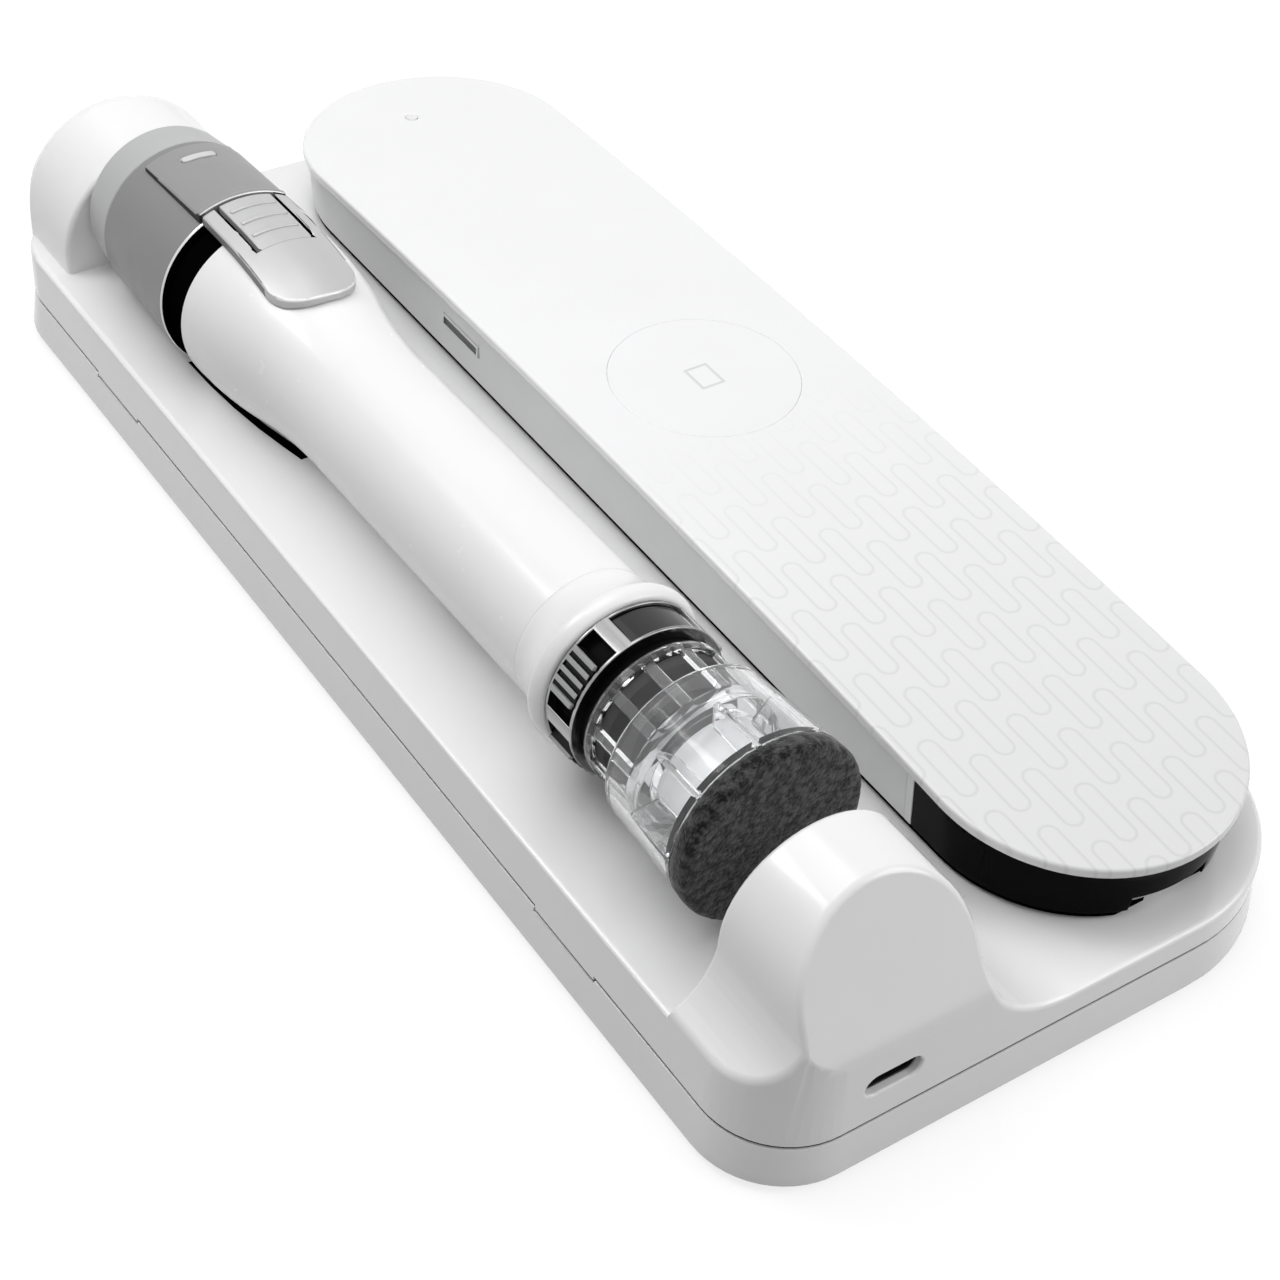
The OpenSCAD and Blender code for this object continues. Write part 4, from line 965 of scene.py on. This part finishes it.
@dataclass
class Nose(Assembly):
    """The chrome collar, its lens blocks, the clear guard and the eraser cap."""

    marker: Marker
    lens_u: float = 127.7
    window_turn: float = 74
    windows: int = 5
    lens_low: float = 9.4
    lens_top: float = 10.75
    lens_w: float = 6.2
    lens_l: float = 4.5
    pane_rim: float = 0.12
    rib_h: float = 0.45
    rib_rim: float = 0.1
    ribs: int = 4
    felt_start: float = 153.6
    felt_r: float = 12.8
    felt_t: float = 2.9
    felt_rim: float = 1.1
    felt_side: tuple[Span, ...] = ((0.4, 0), (0.05, 0.35), (0, 1))
    felt_steps: int = 200
    felt_rings: int = 22
    felt_arc: int = 6
    felt_lumps: tuple[Span, ...] = ((1.6, 0.22), (0.55, 0.16))
    felt_octaves: int = 3
    felt_level: float = 0.62

    def build(self) -> None:
        """Builds the nose from the chrome collar to the felt."""
        rounded(Body.MARKER, ("chrome_collar", "nose_chrome", Look.CHROME, 0.15),
                ("nose_guard", "nose_cage", Look.CLEAR, 0.15))
        rounded(Body.CAP, ("clear_cap", "cap_shell", Look.CLEAR, 0.25),
                ("cap_cup", "cap_inner_cup", Look.CUP, 0.3))
        pane = softened("emitters", "nose_pane", Rounding(self.pane_rim), keep=self.in_top_window)
        fitted(pane, Body.MARKER, Look.PANE, "emitters")
        self.lenses()
        self.felt()

    def in_top_window(self, at: Vector) -> bool:
        """Whether a place lies in the sector of the window on top."""
        toward = Matrix.Rotation(math.radians(self.window_turn), 2) @ Vector((1, 0))
        return self.marker.own(at).xy.angle(toward) < math.pi / self.windows

    def on_rib(self, normal: Vector, at: Vector) -> bool:
        """Whether a face of a lens block is the top of a rib, which gets a painted highlight."""
        return self.marker.own(at).xy.length > self.lens_top + self.rib_h - NEAR

    def lenses(self) -> None:
        """Models one ribbed lens block and puts a copy behind each other window."""
        first = block("nose_lens", (self.lens_top - self.lens_low, self.lens_w, self.lens_l),
                      ((self.lens_top + self.lens_low) / 2, 0, 0))
        strip = self.lens_w / (2 * self.ribs + 1)
        with shaping(first):
            choose(first, Pick.EDGE, lambda e: abs(e.verts[0].co.y - e.verts[1].co.y) > NEAR * MM)
            bpy.ops.mesh.subdivide(number_cuts=2 * self.ribs)
            choose(first, Pick.FACE, lambda f: f.normal.x > FACING and round(
                (f.calc_center_median().y / MM + self.lens_w / 2) / strip - 0.5) % 2 == 0)
            bpy.ops.mesh.extrude_faces_move(TRANSFORM_OT_shrink_fatten={"value": self.rib_h * MM})
            choose(first, Pick.EDGE, convex)
            bpy.ops.mesh.bevel(offset=self.rib_rim * MM, segments=2)
        faired(first)
        for i in range(1, self.windows):
            lens = bpy.data.objects.new(f"nose_lens_{i}", first.data.copy())
            bpy.context.scene.collection.objects.link(lens)
            turn = Matrix.Rotation(math.radians(self.window_turn + 360 / self.windows * i), 4, "Z")
            set_down(lens, self.marker.place @ Matrix.Translation((0, 0, self.lens_u * MM)) @ turn)
            # Rib tops get a painted highlight.
            fitted(lens, Body.MARKER, Look.LENS, trims=((Look.LENS_RIB_HIGHLIGHT, self.on_rib),))
        bpy.data.objects.remove(first)

    def felt(self) -> None:
        """Builds the felt disc with a worn rim and an uneven face."""
        r, t, bow, rings = self.felt_r, self.felt_t, self.felt_rim, self.felt_rings
        turns = [math.pi / 2 * (1 - k / self.felt_arc) for k in range(self.felt_arc + 1)]
        rim = [(r - bow + bow * math.sin(a), t - bow + bow * math.cos(a)) for a in turns]
        flat = [(r * k / (rings + 2), 0) for k in range(rings + 1)]
        side = [(r - inward, z) for inward, z in self.felt_side]
        face = [((r - bow) * k / rings, t) for k in reversed(range(rings))]
        disc = drawn("felt_disc", [*flat, *side, *rim, *face])
        with shaping(disc, Pick.POINT):
            pick_all()
            bpy.ops.mesh.spin(steps=self.felt_steps, angle=math.tau, center=(0, 0, 0), axis=(0, 0, 1))
            pick_all()
            bpy.ops.mesh.remove_doubles(threshold=WELD)
            face_outward()
        for size, depth in self.felt_lumps:
            clouds = bpy.data.textures.new(f"felt_clumps_{size}", "CLOUDS")
            clouds.noise_scale = size * MM
            clouds.noise_depth = self.felt_octaves
            bpy.ops.object.modifier_add(type="DISPLACE")
            lumps = disc.modifiers[-1]
            lumps.texture = clouds
            lumps.mid_level = self.felt_level
            lumps.strength = depth * MM
            bpy.ops.object.modifier_apply(modifier=lumps.name)
        set_down(disc, self.marker.place @ Matrix.Translation((0, 0, self.felt_start * MM)))
        bpy.ops.object.shade_smooth()
        fitted(disc, Body.CAP, Look.FELT, "felt_pad")


@dataclass
class Receiver(Assembly):
    """The pill-shaped receiver bar."""

    lid_rim: float = 0.45
    button_x: float = 19.8
    button_y: float = 5.6
    button_r: float = 13.5
    button_gap: float = 0.3
    groove: float = 0.03
    groove_rim: float = 0.08
    bar_y: float = 1.7
    bar_half: float = 76.7
    # Painted shadow under the bar: a black ring, its radius, width and height span in millimetres, and
    # its steps.
    under_shadow_r: float = 19.9
    under_shadow_t: float = 1.2
    under_shadow_z: Span = (12.2, 12.88)
    under_shadow_steps: int = 128
    notch_y: float = -93.5
    key_inset: float = 0.12
    key_sink: float = 0.3
    key_grow: float = 0.22
    key_flange: float = 1.6
    plain = (
        (Look.BAND, "receiver_tray"), (Look.RUBBER, "receiver_pads"),
        (Look.STEEL, "receiver_screws receiver_magnets microphones"), (Look.BOARD, "receiver_board"),
        (Look.CELL, "receiver_battery"), (Look.GOLD, "receiver_contacts"),
        (Look.BLACK, "optical_sensors button_switch key_switch"), (Look.LID_LAMP, "lid_light"))

    def off_button(self, at: Vector) -> float:
        """How far a place is from the button's rim, in millimetres."""
        return math.hypot(at.x - self.button_x, at.y - self.button_y) - self.button_r

    def at_button(self, edge: Edge) -> bool:
        """Whether an edge runs round the button."""
        return abs(self.off_button(middle(edge))) < 2 * self.button_gap

    def on_groove(self, edge: Edge) -> bool:
        """Whether an edge is the upper rim of the widened button."""
        off = abs(self.off_button(middle(edge)) - self.button_gap)
        return convex(edge) and off < 2 * NEAR and any(f.normal.z > FACING for f in edge.link_faces)

    def build(self) -> None:
        """Builds the lid, the side band, the window and the keys."""
        lid = softened(
            "receiver_lid", "bar_lid",
            Rounding(self.groove_rim, lambda e: convex(e) and self.at_button(e), 2),
            Rounding(self.lid_rim, lambda e: convex(e) and not self.at_button(e)))
        fitted(lid, Body.RECEIVER, Look.LID, "receiver_lid")
        rounded(Body.RECEIVER, ("side_band", "bar_band", Look.BAND, 0.15),
                ("end_window", "bar_window", Look.WINDOW, 0.2),
                ("divider_strip", "bar_strip", Look.STRIP, 0.12))
        self.button()
        self.key()
        self.under_shadow()
        self.dress()

    def key(self) -> None:
        """Widens the side key to a fine groove and sinks a slot into its face, painted dark as shade."""
        low, high = (corner / MM for corner in map(Vector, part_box("side_key")))
        centre, size = (low + high) / 2, high - low
        key = softened("side_key", "bar_key")
        with shaping(key):
            choose_places(key, lambda at: at.x < centre.x)
            face_l = size.y - self.key_flange
            grow = (1, 1 + 2 * self.key_grow / face_l, 1 + 2 * self.key_grow / size.z)
            bpy.ops.transform.resize(value=grow, center_override=centre * MM)
            choose(key, Pick.FACE, lambda f: (
                f.normal.x < -FACING and f.calc_center_median().x / MM < low.x + NEAR))
            bpy.ops.mesh.inset(thickness=(self.key_inset + self.key_grow) * MM)
            push((self.key_sink * MM, 0, 0))
        faired(key)
        slot_half = size.z / 2 - self.key_inset + NEAR

        def in_shaded_slot(normal: Vector, at: Vector) -> bool:
            """Whether a face lies in the slot, which gets painted shade."""
            deep = NEAR < at.x - low.x < self.key_sink + NEAR
            return deep and abs(at.z - centre.z) < slot_half

        fitted(key, Body.KEY, Look.BAND, "side_key", trims=((Look.KEY_SLOT_SHADE, in_shaded_slot),))

    def under_shadow(self) -> None:
        """Models a black recessed ring under the bar as painted shadow, open at the notch of its front
        end.
        """
        low, high = self.under_shadow_z
        place = Vector((self.button_x, self.bar_y, (low + high) / 2)) * MM
        bpy.ops.mesh.primitive_cylinder_add(
            vertices=self.under_shadow_steps, radius=self.under_shadow_r * MM, depth=(high - low) * MM, location=place,
            rotation=(0, 0, math.pi / self.under_shadow_steps))
        under_shadow = bpy.context.object
        under_shadow.name = "bar_painted_under_shadow"
        bpy.ops.object.transform_apply()
        with shaping(under_shadow):
            for side in (1, -1):
                choose_places(under_shadow, lambda at: (at.y - self.bar_y) * side > 0)
                bpy.ops.transform.translate(value=(0, side * self.bar_half * MM, 0))
            choose(under_shadow, Pick.FACE, lambda f: abs(f.normal.z) > FACING)
            bpy.ops.mesh.inset(thickness=self.under_shadow_t * MM)
            bpy.ops.mesh.bridge_edge_loops()
            pick_all()
            bpy.ops.mesh.bisect(plane_co=(0, self.notch_y * MM, 0), plane_no=(0, 1, 0), use_fill=True,
                                clear_inner=True, threshold=WELD)
            face_outward()
        faired(under_shadow)
        fitted(under_shadow, Body.RECEIVER, Look.BLACK)

    def button(self) -> None:
        """Widens the button's cap until only a fine groove is left round it."""
        button = softened("page_button", "bar_button")
        with shaping(button):
            choose_places(button, lambda at: abs(self.off_button(at)) < NEAR)
            grow = 1 + (self.button_gap - self.groove) / self.button_r
            axis = Vector((self.button_x, self.button_y, 0)) * MM
            bpy.ops.transform.resize(value=(grow, grow, 1), center_override=axis)
            choose(button, Pick.EDGE, self.on_groove)
            bpy.ops.mesh.bevel(offset=self.groove_rim * MM, segments=2)
        faired(button)
        fitted(button, Body.BUTTON, Look.LID, "page_button")


@dataclass
class Studio:
    """Floor, light and camera."""

    eye: Triple = (-0.16298, -0.22411, 0.24245)
    turn: Triple = (47.392664, -3.891435, -33.840671)
    lens: float = 72.494
    near_clip: float = 0.005
    sky: tuple[tuple[Triple, float, float], ...] = (
        ((0, 0, 1), 4, 0.77), ((-1, 0, 0), 2, 0.23))
    floor_size: float = 12
    floor_tone: float = 0.3
    floor_glow: float = 0.76
    lamps: tuple[tuple[str, Triple, float, float], ...] = (
        ("overhead_softbox", (-0.15, 0.3, 0.7), 0.8, 1.03),
        ("rear_left_softbox", (-0.22, 0.22, 0.4), 0.15, 0.36),
        ("top_softbox", (-0.02, 0.1, 0.5), 0.3, 0.47),
        ("front_right_softbox", (0.45, -0.45, 0.35), 0.4, 1.55))

    def build(self) -> None:
        """Sets the stage."""
        bpy.context.scene.view_settings.view_transform = "Standard"
        self.camera()
        self.world()
        self.floor()
        self.light()

    def camera(self) -> None:
        """Puts the camera at the photograph's viewpoint."""
        bpy.ops.object.camera_add()
        camera = bpy.context.object
        turn = Euler([math.radians(angle) for angle in self.turn])
        camera.matrix_world = Matrix.LocRotScale(Vector(self.eye), turn, None)
        camera.data.lens = self.lens
        camera.data.clip_start = self.near_clip
        bpy.context.scene.camera = camera

    def seen(self, tree: Tree) -> Socket:
        """One where the ray comes from the camera, a mirror or clear plastic."""
        path = tree.add("LightPath").outputs
        return tree.math("MAXIMUM", path["Is Camera Ray"], tree.math(
            "MAXIMUM", path["Is Glossy Ray"], path["Is Transmission Ray"]))

    def world(self) -> None:
        """White to look at, and a softer level as light."""
        world = bpy.data.worlds.new("studio_white")
        bpy.context.scene.world = world
        world.use_nodes = True
        tree = Tree(world.node_tree)
        way = tree.add("TexCoord").outputs["Generated"]
        lobes = []
        for aim, narrow, amount in self.sky:
            dot = tree.add("VectorMath", {0: way, 1: aim}, operation="DOT_PRODUCT").outputs["Value"]
            toward = tree.math("MULTIPLY_ADD", dot, 0.5, 0.5)
            lobes.append(tree.math("MULTIPLY", tree.math("POWER", toward, narrow), amount))
        light = tree.math("ADD", *lobes)
        level = tree.add("MapRange", {"Value": self.seen(tree), "To Min": light, "To Max": 1.0})
        back = world.node_tree.nodes["Background"].inputs
        tree.put((1, 1, 1), back["Color"])
        tree.put(level.outputs[0], back["Strength"])

    def floor(self) -> None:
        """A plain floor that looks white and still takes the object's shadow."""
        bpy.ops.mesh.primitive_plane_add(size=self.floor_size)
        floor = bpy.context.object
        floor.name = "studio_floor"
        material = bpy.data.materials.new("floor_white")
        material.use_nodes = True
        material.node_tree.nodes.clear()
        tree = Tree(material.node_tree)
        matte = tree.add("BsdfDiffuse", {"Color": grey(self.floor_tone)})
        glow = tree.add("Emission", {"Strength": tree.math("MULTIPLY", self.seen(tree), self.floor_glow)})
        both = tree.add("AddShader", {0: matte.outputs[0], 1: glow.outputs[0]})
        tree.add("OutputMaterial", {"Surface": both.outputs[0]})
        floor.data.materials.append(material)

    def light(self) -> None:
        """Hangs the soft square lamps, by name, place, side and watts; all point at the origin."""
        for name, place, side, watts in self.lamps:
            bpy.ops.object.light_add(type="AREA", location=place)
            lamp = bpy.context.object
            lamp.name = name
            lamp.data.size = side
            lamp.data.energy = watts
            lamp.rotation_euler = (-Vector(place)).to_track_quat("-Z", "Y").to_euler()


def main() -> None:
    """Builds every sub-assembly and the studio."""
    logging.basicConfig(level=logging.INFO, format="%(name)s: %(message)s")
    marker = Marker()
    for assembly in (Cradle(), marker, Nose(marker), Receiver(), Studio()):
        LOG.info("building %s", type(assembly).__name__)
        assembly.build()


if __name__ == "__main__":
    main()
